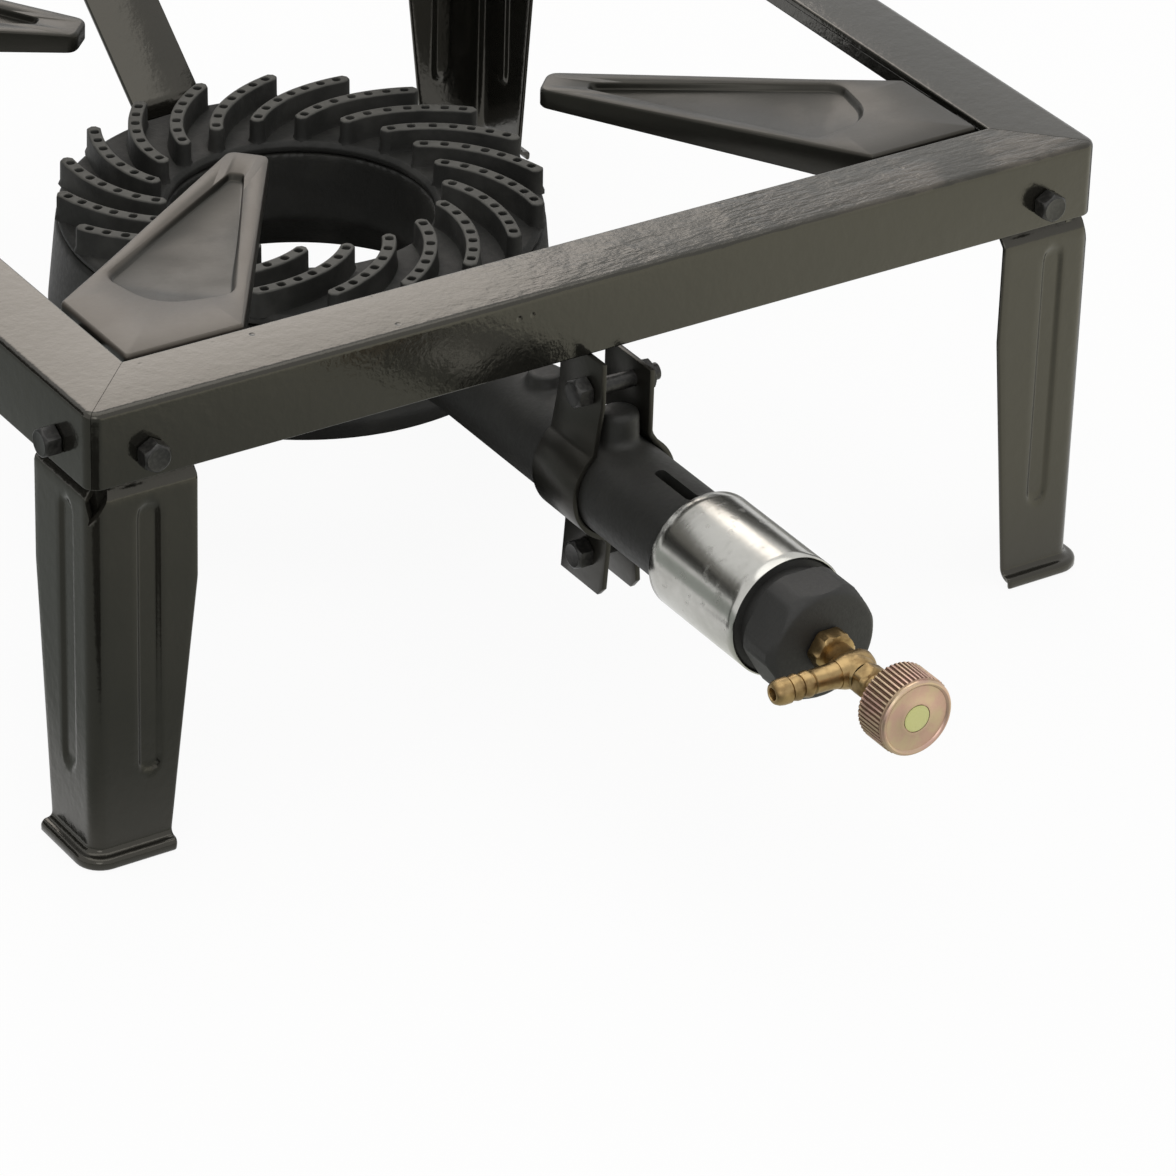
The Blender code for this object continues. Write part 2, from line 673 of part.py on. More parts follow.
def make_burner_bowl(material, parent):
    """Cast gas channel with its mixer tube, tube bosses and rear lug."""
    wall = BOWL_WALL
    floor = BOWL_BOTTOM + wall + 1 * MM
    profile = [
        (BOWL_BELLY - 10 * MM, BOWL_BOTTOM),
        (BOWL_BELLY - 2.5 * MM, BOWL_BOTTOM + 5 * MM),
        (BOWL_BELLY, BOWL_BOTTOM + 15 * MM),
        (DECK_OUTER + 1 * MM, BOWL_TOP),
        (DECK_OUTER + 1 * MM - wall, BOWL_TOP),
        (BOWL_BELLY - wall, BOWL_BOTTOM + 15 * MM),
        (BOWL_BELLY - 10 * MM, floor),
        (BOWL_BELLY - 22 * MM, floor),
        (DECK_INNER + wall, BOWL_INNER_BOTTOM + wall),
        (DECK_INNER + wall - 0.5 * MM, BOWL_TOP),
        (DECK_INNER - 0.5 * MM, BOWL_TOP),
        (DECK_INNER - 1 * MM, BOWL_INNER_BOTTOM),
        (BOWL_BELLY - 22 * MM, BOWL_BOTTOM),
    ]
    bowl = make_turned("burner_bowl", profile, along_z, material, parent, steps=64)
    root = BOWL_BELLY - 8 * MM
    tube = make_turned("tube", [
        (TUBE_RADIUS, root),
        (TUBE_RADIUS, MOUTH_START - 7 * MM),
        (MOUTH_RADIUS, MOUTH_START),
        (MOUTH_RADIUS, MOUTH_END),
    ], along_tube, None, parent, steps=32, closed=False)
    for name, top, at in (("boss", BOSS_TOP, BOSS_AT), ("rear_boss", REAR_BOSS_TOP, REAR_BOSS_AT)):
        join(tube, rod_between(name, (0, -at, TUBE_Z), (0, -at, top), BOSS_RADIUS, parent, 16))
    crown_room = [(DECK_OUTER + 1 * MM, BOWL_TOP), (DECK_OUTER + 1 * MM, RIB_TOP)]
    cut(tube, make_turned("crown_room", crown_room, along_z, None, parent, steps=64, closed=False))
    join(bowl, tube)
    lug_half = STRAP_WIDTH / 2
    lug = make_box("lug", (-lug_half, root + 3 * MM, LUG_LOW), (lug_half, LUG_END, LUG_TOP), parent)
    join(bowl, lug)
    bore = [
        (THROAT_BORE, BOWL_BELLY - 28 * MM),
        (THROAT_BORE, THROAT_END),
        (TUBE_BORE, THROAT_END + 20 * MM),
        (TUBE_BORE, MOUTH_END + 5 * MM),
    ]
    cut(bowl, make_turned("bore", bore, along_tube, None, parent, closed=False))
    slot_mid = -3 * MM
    slot_low = (slot_mid - SLOT_WIDTH / 2, -SLOT_END, TUBE_Z + TUBE_BORE / 2)
    slot_high = (slot_mid + SLOT_WIDTH / 2, -SLOT_START, TUBE_Z + MOUTH_RADIUS + 5 * MM)
    cut(bowl, make_box("slot", slot_low, slot_high, parent))
    deep = LUG_END - STRAP_BOLT_DEEP - GAP
    mouth = LUG_END + 5 * MM
    hole = rod_between("lug_hole", (0, deep, STRAP_BOLT_Z), (0, mouth, STRAP_BOLT_Z), HOLE_RADIUS, parent)
    cut(bowl, hole)
    return bowl


def clamp_profile(top):
    """Section of the right-hand clamp half: cheek, band round the tube and ear."""
    inner_radius = TUBE_RADIUS + GAP
    start = math.acos(CLAMP_HALF_GAP / inner_radius)
    end = -math.acos(EAR_HALF_GAP / inner_radius)
    angles = [start + (end - start) * k / 10 for k in range(11)]
    inner = [(CLAMP_HALF_GAP, top)]
    inner += [(inner_radius * math.cos(a), TUBE_Z + inner_radius * math.sin(a)) for a in angles]
    inner += [(EAR_HALF_GAP, EAR_BOTTOM)]
    outer_radius = inner_radius + CLAMP_THICK
    start = math.acos((CLAMP_HALF_GAP + CLAMP_THICK) / outer_radius)
    end = -math.acos((EAR_HALF_GAP + CLAMP_THICK) / outer_radius)
    angles = [start + (end - start) * k / 10 for k in range(11)]
    outer = [(CLAMP_HALF_GAP + CLAMP_THICK, top)]
    outer += [(outer_radius * math.cos(a), TUBE_Z + outer_radius * math.sin(a)) for a in angles]
    outer += [(EAR_HALF_GAP + CLAMP_THICK, EAR_BOTTOM)]
    return inner + list(reversed(outer))


def make_clamp_half(name, side, top, front, material, parent):
    rings = []
    for y in (-CLAMP_BACK, -front):
        rings.append([Vector((side * x, y, z)) for x, z in clamp_profile(top)])
    half = make_loft(name, rings, material, parent)
    reach = CLAMP_HALF_GAP + CLAMP_THICK + 5 * MM
    for at, z in ((CLAMP_BOLT_AT, CLAMP_BOLT_Z), (EAR_BOLT_AT, EAR_BOLT_Z)):
        cut(half, rod_between("clamp_hole", (0, -at, z), (side * reach, -at, z), HOLE_RADIUS, parent))
    return half


def make_clamp(black, steel, parent):
    """Two half bands round the tube; the left one runs up behind the front bar."""
    hanger = make_clamp_half("clamp_hanger", -1, HANGER_TOP, HANGER_FRONT, black, parent)
    room_top = FRAME_HEIGHT - ANGLE_WIDTH - GAP
    flange_inside = HALF - ANGLE_THICK + BURNER_Y - GAP
    room_low = (-30 * MM, -HANGER_FRONT - 10 * MM, room_top)
    room_high = (0, -flange_inside, FRAME_HEIGHT)
    cut(hanger, make_box("flange_room", room_low, room_high, parent))
    make_clamp_half("clamp_half", 1, CLAMP_TOP, CLAMP_FRONT, black, parent)
    for label, at, z, face in (
        ("top", CLAMP_BOLT_AT, CLAMP_BOLT_Z, CLAMP_HALF_GAP + CLAMP_THICK),
        ("ear", EAR_BOLT_AT, EAR_BOLT_Z, EAR_HALF_GAP + CLAMP_THICK),
    ):
        length = 2 * (face + GAP) + NUT_HIGH + 3 * MM
        make_bolt(f"clamp_bolt_{label}", (-face - GAP, -at, z), (1, 0, 0), length, steel, parent)
        make_nut(f"clamp_nut_{label}", (face + GAP, -at, z), (1, 0, 0), steel, parent)


def make_strip(name, line, thick, half, material, parent):
    """Bent strip whose side view follows a line of (y, z) points, thickened to the line's left."""
    count = len(line)
    points = [Vector(p) for p in line]
    offset = []
    for i, point in enumerate(points):
        ways = []
        for a, b in ((i - 1, i), (i, i + 1)):
            if a >= 0 and b < count:
                ways.append((points[b] - points[a]).normalized())
        normals = [Vector((-w.y, w.x)) for w in ways]
        mean = sum(normals, Vector((0, 0))).normalized()
        offset.append(point + mean * thick / mean.dot(normals[0]))
    outline = points + list(reversed(offset))
    rings = [[Vector((x, p.x, p.y)) for p in outline] for x in (-half, half)]
    return make_loft(name, rings, material, parent)


def make_rear_strap(black, steel, parent):
    """Cranked strip from the burner's rear lug up to the underside of the back bar."""
    at = LUG_END + GAP + STRAP_THICK
    top = FRAME_HEIGHT - ANGLE_THICK - GAP - STRAP_THICK
    line = [(at, STRAP_LOW), (at, STRAP_BEND), (STRAP_END - STRAP_LAP, top), (STRAP_END, top)]
    strap = make_strip("rear_strap", line, STRAP_THICK, STRAP_WIDTH / 2, black, parent)
    hole = rod_between("strap_hole", (0, at - 6 * MM, STRAP_BOLT_Z), (0, at + 6 * MM, STRAP_BOLT_Z),
                       HOLE_RADIUS, parent)
    cut(strap, hole)
    length = STRAP_THICK + 2 * GAP + STRAP_BOLT_DEEP
    make_bolt("strap_bolt", (0, at + GAP, STRAP_BOLT_Z), (0, -1, 0), length, steel, parent)


def make_sleeve(material, parent):
    inner = MOUTH_RADIUS + GAP
    outer = inner + SLEEVE_WALL
    end = SLEEVE_START + SLEEVE_LONG
    profile = [(inner, SLEEVE_START), (outer, SLEEVE_START), (outer, end), (inner, end)]
    return make_turned("air_sleeve", profile, along_tube, material, parent, steps=48)


def make_cap(material, brass, parent):
    body = hexagon(CAP_FLATS, CAP_CORNER)
    spigot = TUBE_BORE - GAP
    flange_end = CAP_START + CAP_FLANGE_LONG
    make_turned("nozzle_cap", [
        (CAP_BORE, CAP_START - SPIGOT_LONG),
        (spigot, CAP_START - SPIGOT_LONG),
        (spigot, CAP_START),
        (MOUTH_RADIUS, CAP_START),
        (MOUTH_RADIUS, flange_end),
        (0, flange_end, body),
        (0, CAP_END - 3 * MM, body),
        (CAP_FLATS / 2 - 2 * MM, CAP_END),
        (CAP_BORE, CAP_END),
    ], along_tube, material, parent, steps=36)
    jet_end = CAP_START - SPIGOT_LONG - GAP
    make_turned("injector_jet", [
        (JET_RADIUS * 0.4, jet_end - JET_LONG),
        (JET_RADIUS, jet_end - JET_LONG * 0.6),
        (JET_RADIUS, jet_end),
    ], along_tube, brass, parent, steps=18, closed=False)


def make_valve(brass, parent):
    bore = SPINDLE_RADIUS + GAP
    flats = hexagon(VALVE_HEX_FLATS, VALVE_HEX_FLATS / 2 * 1.1)
    body = VALVE_BODY_RADIUS
    stub = CAP_BORE - GAP
    hex_end = VALVE_START + VALVE_HEX_LONG
    make_turned("valve_body", [
        (stub, VALVE_START - 7 * MM),
        (stub, VALVE_START),
        (0, VALVE_START, flats),
        (0, hex_end, flats),
        (body * 0.72, hex_end),
        (body * 0.72, VALVE_END - 2 * body),
        (body, VALVE_END - 1.5 * body),
        (body, VALVE_END - 1 * MM),
        (body - 1 * MM, VALVE_END),
        (bore, VALVE_END),
        (bore, VALVE_END - 13 * MM),
    ], along_tube, brass, parent, steps=24, closed=False)
    start = body + GAP
    barb = [(BARB_BORE, start), (BARB_RADIUS * 1.12, start), (BARB_RADIUS * 1.12, start + 4 * MM)]
    pitch = (BARB_LONG - 7 * MM) / 4
    for k in range(4):
        at = start + 4 * MM + k * pitch
        neck = BARB_RADIUS * 0.78
        barb += [(neck, at), (neck, at + 0.3 * pitch), (BARB_RADIUS, at + 0.45 * pitch)]
    end = start + BARB_LONG
    barb += [(BARB_RADIUS * 0.8, end), (BARB_BORE, end)]
    make_turned("hose_barb", barb, along_barb, brass, parent, steps=16)
    gland = hexagon(GLAND_FLATS, GLAND_FLATS / 2 * 1.1)
    make_turned("gland_nut", [
        (bore, GLAND_START),
        (0, GLAND_START, gland),
        (0, GLAND_START + GLAND_LONG * 0.6, gland),
        (GLAND_FLATS * 0.38, GLAND_END),
        (bore, GLAND_END),
    ], along_tube, brass, parent, steps=24)
    make_turned("valve_needle", [
        (0.5 * MM, VALVE_END - 11 * MM),
        (SPINDLE_RADIUS, VALVE_END - 6 * MM),
        (SPINDLE_RADIUS, KNOB_START + 6 * MM),
    ], along_tube, brass, parent, steps=16, closed=False)


def make_knob(gold, green, parent):
    bore = SPINDLE_RADIUS + GAP
    recess = DISC_RADIUS + GAP
    chamfer = 0.8 * MM
    make_turned("valve_knob", [
        (bore, KNOB_START + 6 * MM + GAP),
        (bore, KNOB_START),
        (KNOB_RADIUS - chamfer, KNOB_START),
        (KNOB_RADIUS, KNOB_START + chamfer),
        (KNOB_RADIUS, KNOB_END - chamfer),
        (KNOB_RADIUS - chamfer, KNOB_END),
        (recess, KNOB_END),
        (recess, KNOB_END - DISC_THICK - GAP),
    ], along_tube, gold, parent, steps=48, closed=False)
    make_turned("knob_disc", [
        (DISC_RADIUS, KNOB_END - DISC_THICK), (DISC_RADIUS, KNOB_END),
    ], along_tube, green, parent, steps=24, closed=False)


def centre_on_origin(root):
    """Moves the stand so that its bounding box is centred over the origin with its feet on z = 0."""
    bpy.context.view_layer.update()
    points = []
    for obj in bpy.data.objects:
        if obj.type == "MESH":
            points += [obj.matrix_world @ v.co for v in obj.data.vertices]
    low = [min(p[k] for p in points) for k in range(3)]
    high = [max(p[k] for p in points) for k in range(3)]
    root.location = (-(low[0] + high[0]) / 2, -(low[1] + high[1]) / 2, -low[2])
    bpy.context.view_layer.update()


def main():
    clear_scene()
    black = make_material("black_paint", (0.022, 0.021, 0.019), 0.35, 0.0)
    iron = make_material("cast_iron", (0.018, 0.018, 0.017), 0.7, 0.1)
    zinc = make_material("zinc_plate", (0.68, 0.68, 0.65), 0.3, 1.0)
    dark = make_material("dark_steel", (0.02, 0.02, 0.02), 0.4, 0.3)
    brass = make_material("brass", (0.55, 0.38, 0.15), 0.3, 1.0)
    gold = make_material("yellow_zinc", (0.66, 0.5, 0.36), 0.35, 0.9)
    green = make_material("green_disc", (0.52, 0.62, 0.3), 0.5, 0.0)
    grey = make_material("grey_iron", (0.045, 0.044, 0.042), 0.65, 0.1)
    root = make_empty("stand_origin")
    sides = ("front", "right", "back", "left")
    corners = ("front_left", "front_right", "back_right", "back_left")
    for index, side in enumerate(sides):
        make_frame_bar(f"frame_{side}", index, black, root)
    for index, corner in enumerate(corners):
        make_leg(f"leg_{corner}", index, black, root)
        make_leg_fasteners(corner, index, dark, root)
        make_pot_support(f"pot_support_{corner}", index, black, root)
    burner = make_empty("burner_axis", root, (0, BURNER_Y, 0))
    make_burner_crown(iron, burner)
    make_burner_bowl(iron, burner)
    make_clamp(black, dark, burner)
    make_rear_strap(black, dark, burner)
    make_sleeve(zinc, burner)
    make_cap(grey, brass, burner)
    make_valve(brass, burner)
    make_knob(gold, green, burner)
    centre_on_origin(root)


main()
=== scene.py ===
"""Propane burner stand: pressed and cast pieces, finishes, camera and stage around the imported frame."""

import math

import bmesh
import bpy
from bpy.props import FloatProperty, FloatVectorProperty, IntProperty, PointerProperty
from mathutils import Matrix, Vector


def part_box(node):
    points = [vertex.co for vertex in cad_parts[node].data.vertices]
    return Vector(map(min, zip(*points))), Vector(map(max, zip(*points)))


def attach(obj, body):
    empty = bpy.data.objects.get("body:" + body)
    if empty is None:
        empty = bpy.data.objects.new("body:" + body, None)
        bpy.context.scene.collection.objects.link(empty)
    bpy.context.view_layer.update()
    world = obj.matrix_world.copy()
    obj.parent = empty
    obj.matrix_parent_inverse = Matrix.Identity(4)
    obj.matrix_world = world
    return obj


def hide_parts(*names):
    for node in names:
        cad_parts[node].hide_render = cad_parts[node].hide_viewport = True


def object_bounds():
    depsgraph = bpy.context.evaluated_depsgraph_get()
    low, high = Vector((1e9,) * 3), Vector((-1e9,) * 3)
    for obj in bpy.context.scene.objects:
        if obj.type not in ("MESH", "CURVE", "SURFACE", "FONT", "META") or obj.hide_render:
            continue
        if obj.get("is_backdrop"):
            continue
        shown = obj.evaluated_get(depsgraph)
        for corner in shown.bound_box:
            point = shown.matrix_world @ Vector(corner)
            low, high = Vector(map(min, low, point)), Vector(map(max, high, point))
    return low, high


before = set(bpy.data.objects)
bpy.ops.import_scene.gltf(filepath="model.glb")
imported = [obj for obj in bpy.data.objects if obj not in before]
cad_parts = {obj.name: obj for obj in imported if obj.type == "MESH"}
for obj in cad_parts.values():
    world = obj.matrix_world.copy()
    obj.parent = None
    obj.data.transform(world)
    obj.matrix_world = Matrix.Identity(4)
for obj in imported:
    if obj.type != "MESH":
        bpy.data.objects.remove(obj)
CAD_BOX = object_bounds()

bl_info = {
    "name": "Propane burner stand",
    "version": (1, 0, 0),
    "blender": (4, 5, 0),
    "location": "3D View > Sidebar > Burner stand",
    "description": "Builds the pieces of a low propane burner stand around its packed frame",
    "category": "Add Mesh",
}

MM = 0.001
ENAMEL_TINT = (1.0, 0.955, 0.835, 1.0)
ENAMEL_RELIEF = 0.9 * MM
RING_STEPS = 160
RIB_CURVE = 0.86
PORT_SIDES = 12
QUAD = (0, 1, 3, 2)
SIXTH_TURN = math.pi / 3
TWELFTH_TURN = math.pi / 6
CORNERS = ("front_left", "front_right", "back_right", "back_left")
SIDES = ("front", "right", "back", "left")

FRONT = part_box("frame_front")[0].y
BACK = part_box("frame_back")[1].y
LOW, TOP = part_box("frame_front")[0].z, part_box("frame_front")[1].z
HALF = (BACK - FRONT) / 2
FRAME_Y = (BACK + FRONT) / 2
CROWN_LOW, CROWN_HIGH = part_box("burner_crown")
RING_Y = (CROWN_LOW.y + CROWN_HIGH.y) / 2
BOWL_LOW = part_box("burner_bowl")[0].z
AXIS_Z = (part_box("air_sleeve")[0].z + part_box("air_sleeve")[1].z) / 2
BARB_Y = (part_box("hose_barb")[0].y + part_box("hose_barb")[1].y) / 2
KNOB_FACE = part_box("valve_knob")[0].y


def tube_span(node):
    """Where a node starts and ends along the mixer tube, measured out from the ring's centre."""
    low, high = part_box(node)
    return RING_Y - high.y, RING_Y - low.y


def length(name, description, default):
    return FloatProperty(name=name, description=description, default=default, unit="LENGTH", precision=5)


def colour(name, description, default):
    return FloatVectorProperty(name=name, description=description, default=default, size=3,
                               subtype="COLOR", min=0.0, max=1.0)


class StandSizes(bpy.types.PropertyGroup):
    """Sizes of the sheet-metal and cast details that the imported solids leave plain."""

    bend: length("Bend radius", "Outside radius of the angle bars' bend", 2.6 * MM)
    angle_width: length("Flange width", "Width of each flange of the angle bars", TOP - LOW)
    angle_thick: length("Flange thickness", "Thickness of the angle bars", 3 * MM)
    corner: length("Corner radius", "Radius of the frame's upright corners", 5 * MM)
    mitre: length("Mitre gap", "Half of the line left between two bars", 0.12 * MM)
    sheet: length("Sheet thickness", "Thickness of the pressed legs and pot supports", 1.8 * MM)
    leg_wide: length("Wide leg face", "Width of a leg's wider face below the frame", 40 * MM)
    leg_slim: length("Slim leg face", "Width of a leg's slimmer face below the frame", 38 * MM)
    leg_foot: length("Leg width at foot", "Width of both leg faces on the ground", 29 * MM)
    leg_straight: length("Straight part of a leg", "Height below the frame before the taper", 42 * MM)
    foot_lip: length("Foot lip", "How far the foot turns out", 4.5 * MM)
    groove: length("Groove width", "Width of the pressed groove in a leg face", 9.5 * MM)
    groove_depth: length("Groove depth", "Depth of the pressed groove", 1.2 * MM)
    groove_wide_at: length("Groove in the wide face", "From the corner to the groove's middle", 21.5 * MM)
    groove_slim_at: length("Groove in the slim face", "From the corner to the groove's middle", 16.5 * MM)
    support_dips: FloatVectorProperty(
        name="Support dips", description="Lean of each pot support, front left first", size=4,
        default=[math.radians(d) for d in (0.5, 0.9, 0.9, 1.3)])
    rib_count: IntProperty(name="Ribs", description="Flame ribs round the burner", default=20, min=3)
    rib_width: length("Rib width", "Width of a flame rib", 5.3 * MM)
    rib_high: length("Rib height", "Height of a rib over the deck", 9 * MM)
    rib_inner: length("Rib start", "Radius where the ribs start", 50.5 * MM)
    rib_outer: length("Rib end", "Radius where the ribs end", 87 * MM)
    port: length("Port radius", "Half width of a squarish flame port", 1.5 * MM)
    bolt_flats: length("Bolt flats", "Width of a bolt's head across its flats", 9.5 * MM)
    bolt_head: length("Bolt head", "Height of a bolt's head", 6 * MM)
    nut_flats: length("Nut flats", "Width of a nut across its flats", 10 * MM)
    nut_high: length("Nut height", "Height of a nut", 4.5 * MM)
    clamp_sheet: length("Clamp thickness", "Thickness of the bent tube clamp", 2 * MM)
    tube: length("Tube radius", "Radius of the mixer tube", 17.8 * MM)
    mouth: length("Mouth radius", "Radius of the tube's mouth under the sleeve", 20.6 * MM)
    knurl_count: IntProperty(name="Knurls", description="Straight knurls round the knob", default=52, min=6)
    knurl_depth: length("Knurl depth", "Depth of the knurls", 0.75 * MM)


class StandFinishes(bpy.types.PropertyGroup):
    """Colours of the finishes."""

    enamel: colour("Enamel", "Black enamel of the frame and legs", (0.0085, 0.0083, 0.0068))
    enamel_worn: colour("Thin enamel", "Enamel where it is thin or dusty", (0.017, 0.0155, 0.0125))
    # Rubbed colour of the supports' level parts, also used for the painted highlight streaks on the front
    # bar's top.
    enamel_rubbed_and_highlight: colour("Rubbed enamel and painted highlight", "Level parts of the pot supports", (0.082, 0.070, 0.059))
    iron: colour("Cast iron", "Black burner casting", (0.013, 0.013, 0.0115))
    iron_bloom: colour("Iron bloom", "Dusty bloom on the bowl and tube", (0.046, 0.045, 0.040))
    iron_dust: colour("Iron dust", "Dust on the ribbed crown", (0.046, 0.045, 0.041))
    iron_worn: colour("Worn iron", "Rubbed tops of the burner's ribs", (0.092, 0.090, 0.081))
    zinc: colour("Zinc", "Plated air sleeve", (0.50, 0.495, 0.465))
    zinc_dull: colour("Dull zinc", "Clouds and spots on the sleeve", (0.37, 0.365, 0.335))
    bolt_black: colour("Black oxide", "Blackened bolts and nuts", (0.014, 0.0135, 0.0125))
    bolt_grey: colour("Worn oxide", "Thin patches on the bolts and nuts", (0.032, 0.031, 0.028))
    brass: colour("Brass", "Turned valve pieces", (0.35, 0.245, 0.115))
    brass_dark: colour("Dull brass", "Tarnish in the valve's corners", (0.13, 0.08, 0.034))
    gold: colour("Yellow zinc", "Passivated knob", (0.50, 0.39, 0.265))
    gold_pink: colour("Pink zinc", "Pink patches of the passivation", (0.50, 0.33, 0.27))
    gold_dirt: colour("Knurl dirt", "Brown grime between the knurls", (0.13, 0.075, 0.05))
    green: colour("Green disc", "Disc in the knob's face", (0.61, 0.61, 0.24))
    green_pale: colour("Pale green", "Thin patches of the disc's paint", (0.68, 0.67, 0.31))
    cap: colour("Grey casting", "Nozzle cap", (0.011, 0.0108, 0.0095))
    cap_pale: colour("Pale casting", "Clouds on the nozzle cap", (0.020, 0.0195, 0.0175))
    floor: colour("Floor", "Pale studio floor", (0.93, 0.93, 0.925))


class Wire:
    """A node output; arithmetic on it adds Math nodes to its tree."""

    def __init__(self, tree, socket):
        self.tree = tree
        self.socket = socket

    def math(self, operation, first, second):
        return Wiring(self.tree).node("ShaderNodeMath", {"operation": operation}, {0: first, 1: second})

    def __add__(self, other):
        return self.math("ADD", self, other)

    def __sub__(self, other):
        return self.math("SUBTRACT", self, other)

    def __rsub__(self, other):
        return self.math("SUBTRACT", other, self)

    def __mul__(self, other):
        return self.math("MULTIPLY", self, other)

    __radd__ = __add__
    __rmul__ = __mul__


class Wiring:
    """Adds nodes to one tree."""

    def __init__(self, tree):
        self.tree = tree

    def node(self, kind, settings=None, inputs=None, output=0):
        made = self.tree.nodes.new(kind)
        for key, value in (settings or {}).items():
            setattr(made, key, value)
        for key, value in (inputs or {}).items():
            socket = made.inputs[key]
            if isinstance(value, Wire):
                self.tree.links.new(value.socket, socket)
            else:
                socket.default_value = value
        return Wire(self.tree, made.outputs[output])

    def place(self):
        return self.node("ShaderNodeTexCoord", output="Object")

    def split(self, vector, axis):
        return self.node("ShaderNodeSeparateXYZ", inputs={0: vector}, output=axis)

    def stretch(self, vector, scale):
        return self.node("ShaderNodeVectorMath", {"operation": "MULTIPLY"}, {0: vector, 1: scale})

    def noise(self, vector, scale, detail=3.0, rough=0.55):
        return self.node("ShaderNodeTexNoise", inputs={
            "Vector": vector, "Scale": scale, "Detail": detail, "Roughness": rough})

    def spread(self, value, low, high, start=0.0, end=1.0):
        return self.node("ShaderNodeMapRange", {"interpolation_type": "SMOOTHSTEP"}, {
            0: value, 1: low, 2: high, 3: start, 4: end})

    def blend(self, share, first, second):
        """Mix of two colours, each of them a wire or plain red, green and blue."""
        first, second = (shade if isinstance(shade, Wire) else rgba(shade) for shade in (first, second))
        return self.node("ShaderNodeMix", {"data_type": "RGBA"}, {0: share, 6: first, 7: second}, output=2)

    def bump(self, height, strength, distance):
        inputs = {"Height": height, "Strength": strength, "Distance": distance}
        return self.node("ShaderNodeBump", inputs=inputs)


def rgba(shade):
    return (*shade, 1.0)


def start_finish(name, **constants):
    """A fresh material with its Principled shader's constant sockets set."""
    material = bpy.data.materials.new(name)
    material.use_nodes = True
    shader = material.node_tree.nodes["Principled BSDF"]
    for key, value in constants.items():
        shader.inputs[key.replace("_", " ")].default_value = value
    return material, Wiring(material.node_tree), shader.inputs


def feed(inputs, **wires):
    """Links wires to a shader's sockets."""
    for key, wire in wires.items():
        wire.tree.links.new(wire.socket, inputs[key.replace("_", " ")])


def enamel_coat(w, at, shades):
    """Colour, roughness and height of thick brushed enamel: sags, orange peel and thin patches."""
    thin = w.spread(w.noise(at, 9.0, 4.0), 0.42, 0.72)
    sag = w.noise(at, 55.0, 2.0)
    peel = w.noise(at, 240.0, 2.0)
    grit = w.noise(at, 650.0, 2.0)
    shade = w.blend(thin * 0.7, shades.enamel, shades.enamel_worn)
    return shade, 0.11 + thin * 0.06 + grit * 0.08, sag * 0.8 + peel * 0.5 + grit * 0.25


def enamel(name, shades):
    """Glossy black enamel of the frame, legs and rear strap."""
    material, w, inputs = start_finish(name, Specular_Tint=ENAMEL_TINT, Specular_IOR_Level=0.6)
    shade, rough, height = enamel_coat(w, w.place(), shades)
    feed(inputs, Base_Color=shade, Roughness=rough, Normal=w.bump(height, 0.22, ENAMEL_RELIEF))
    return material


def support_enamel(name, shades):
    """Duller enamel of the pot supports and clamp; pots have rubbed its level parts, most on the left."""
    material, w, inputs = start_finish(name, Specular_Tint=ENAMEL_TINT, Specular_IOR_Level=0.36)
    at = w.place()
    shade, rough, height = enamel_coat(w, at, shades)
    scuff = w.spread(w.noise(w.stretch(at, (60.0, 60.0, 200.0)), 1.0, 5.0, 0.6), 0.4, 0.7)
    level = w.spread(w.split(at, "Z"), TOP - 2.4 * MM, TOP - 0.8 * MM)
    rubbed = level * w.spread(w.split(at, "X"), -0.05, 0.07, 1.0, 0.15)
    feed(inputs,
         Base_Color=w.blend(rubbed * (0.75 + scuff * 0.25), shade, shades.enamel_rubbed_and_highlight),
         Roughness=rough + 0.16 + scuff * 0.06,
         Normal=w.bump(height, 0.06, ENAMEL_RELIEF))
    return material


def wrinkled_enamel(name, shades):
    """Front bar's enamel: pits, and ripples on its top towards the right end, with painted highlight streaks
    along them.
    """
    material, w, inputs = start_finish(name, Specular_Tint=ENAMEL_TINT, Specular_IOR_Level=0.6)
    at = w.place()
    along = w.split(at, "X")
    shade, rough, height = enamel_coat(w, at, shades)
    patchy = w.spread(w.noise(at, 28.0, 2.0), 0.36, 0.62, 0.35, 1.0)
    ripple = w.noise(w.stretch(at, (85.0, 300.0, 85.0)), 1.0, 3.5, 0.62) * patchy
    level = w.spread(w.split(at, "Z"), TOP - 2 * MM, TOP - 0.3 * MM)
    where = w.spread(along, -0.09, 0.06, 0.06, 1.0) * level
    cells = w.node("ShaderNodeTexVoronoi", inputs={"Vector": at, "Scale": 120.0})
    pits = w.spread(cells, 0.06, 0.16, 1.0, 0.0) * w.spread(w.noise(at, 30.0), 0.56, 0.64)
    # Painted highlight: the top's ripples towards the right end are lighter, as if they caught the light.
    streaks = w.spread(ripple, 0.22, 0.5) * where * w.spread(along, 0.05, 0.16)
    feed(inputs,
         Base_Color=w.blend(streaks * 0.9, shade, shades.enamel_rubbed_and_highlight),
         Roughness=rough + where * 0.08,
         Normal=w.bump(height * 0.5 + ripple * where * 1.8 - pits * 0.4, 0.5, ENAMEL_RELIEF))
    return material


def sand_cast_iron(name, shades):
    """Sand-cast black iron with a soft dusty bloom."""
    material, w, inputs = start_finish(name, Specular_IOR_Level=0.3)
    at = w.place()
    grain = w.noise(at, 520.0, 4.0, 0.6)
    lumps = w.noise(at, 90.0, 3.0)
    bloom = w.spread(w.noise(at, 16.0, 4.0), 0.45, 0.75)
    feed(inputs,
         Base_Color=w.blend(bloom * 0.55, shades.iron, shades.iron_bloom),
         Roughness=0.42 + grain * 0.25,
         Normal=w.bump(grain * 0.55 + lumps * 0.8, 0.3, 0.6 * MM))
    return material


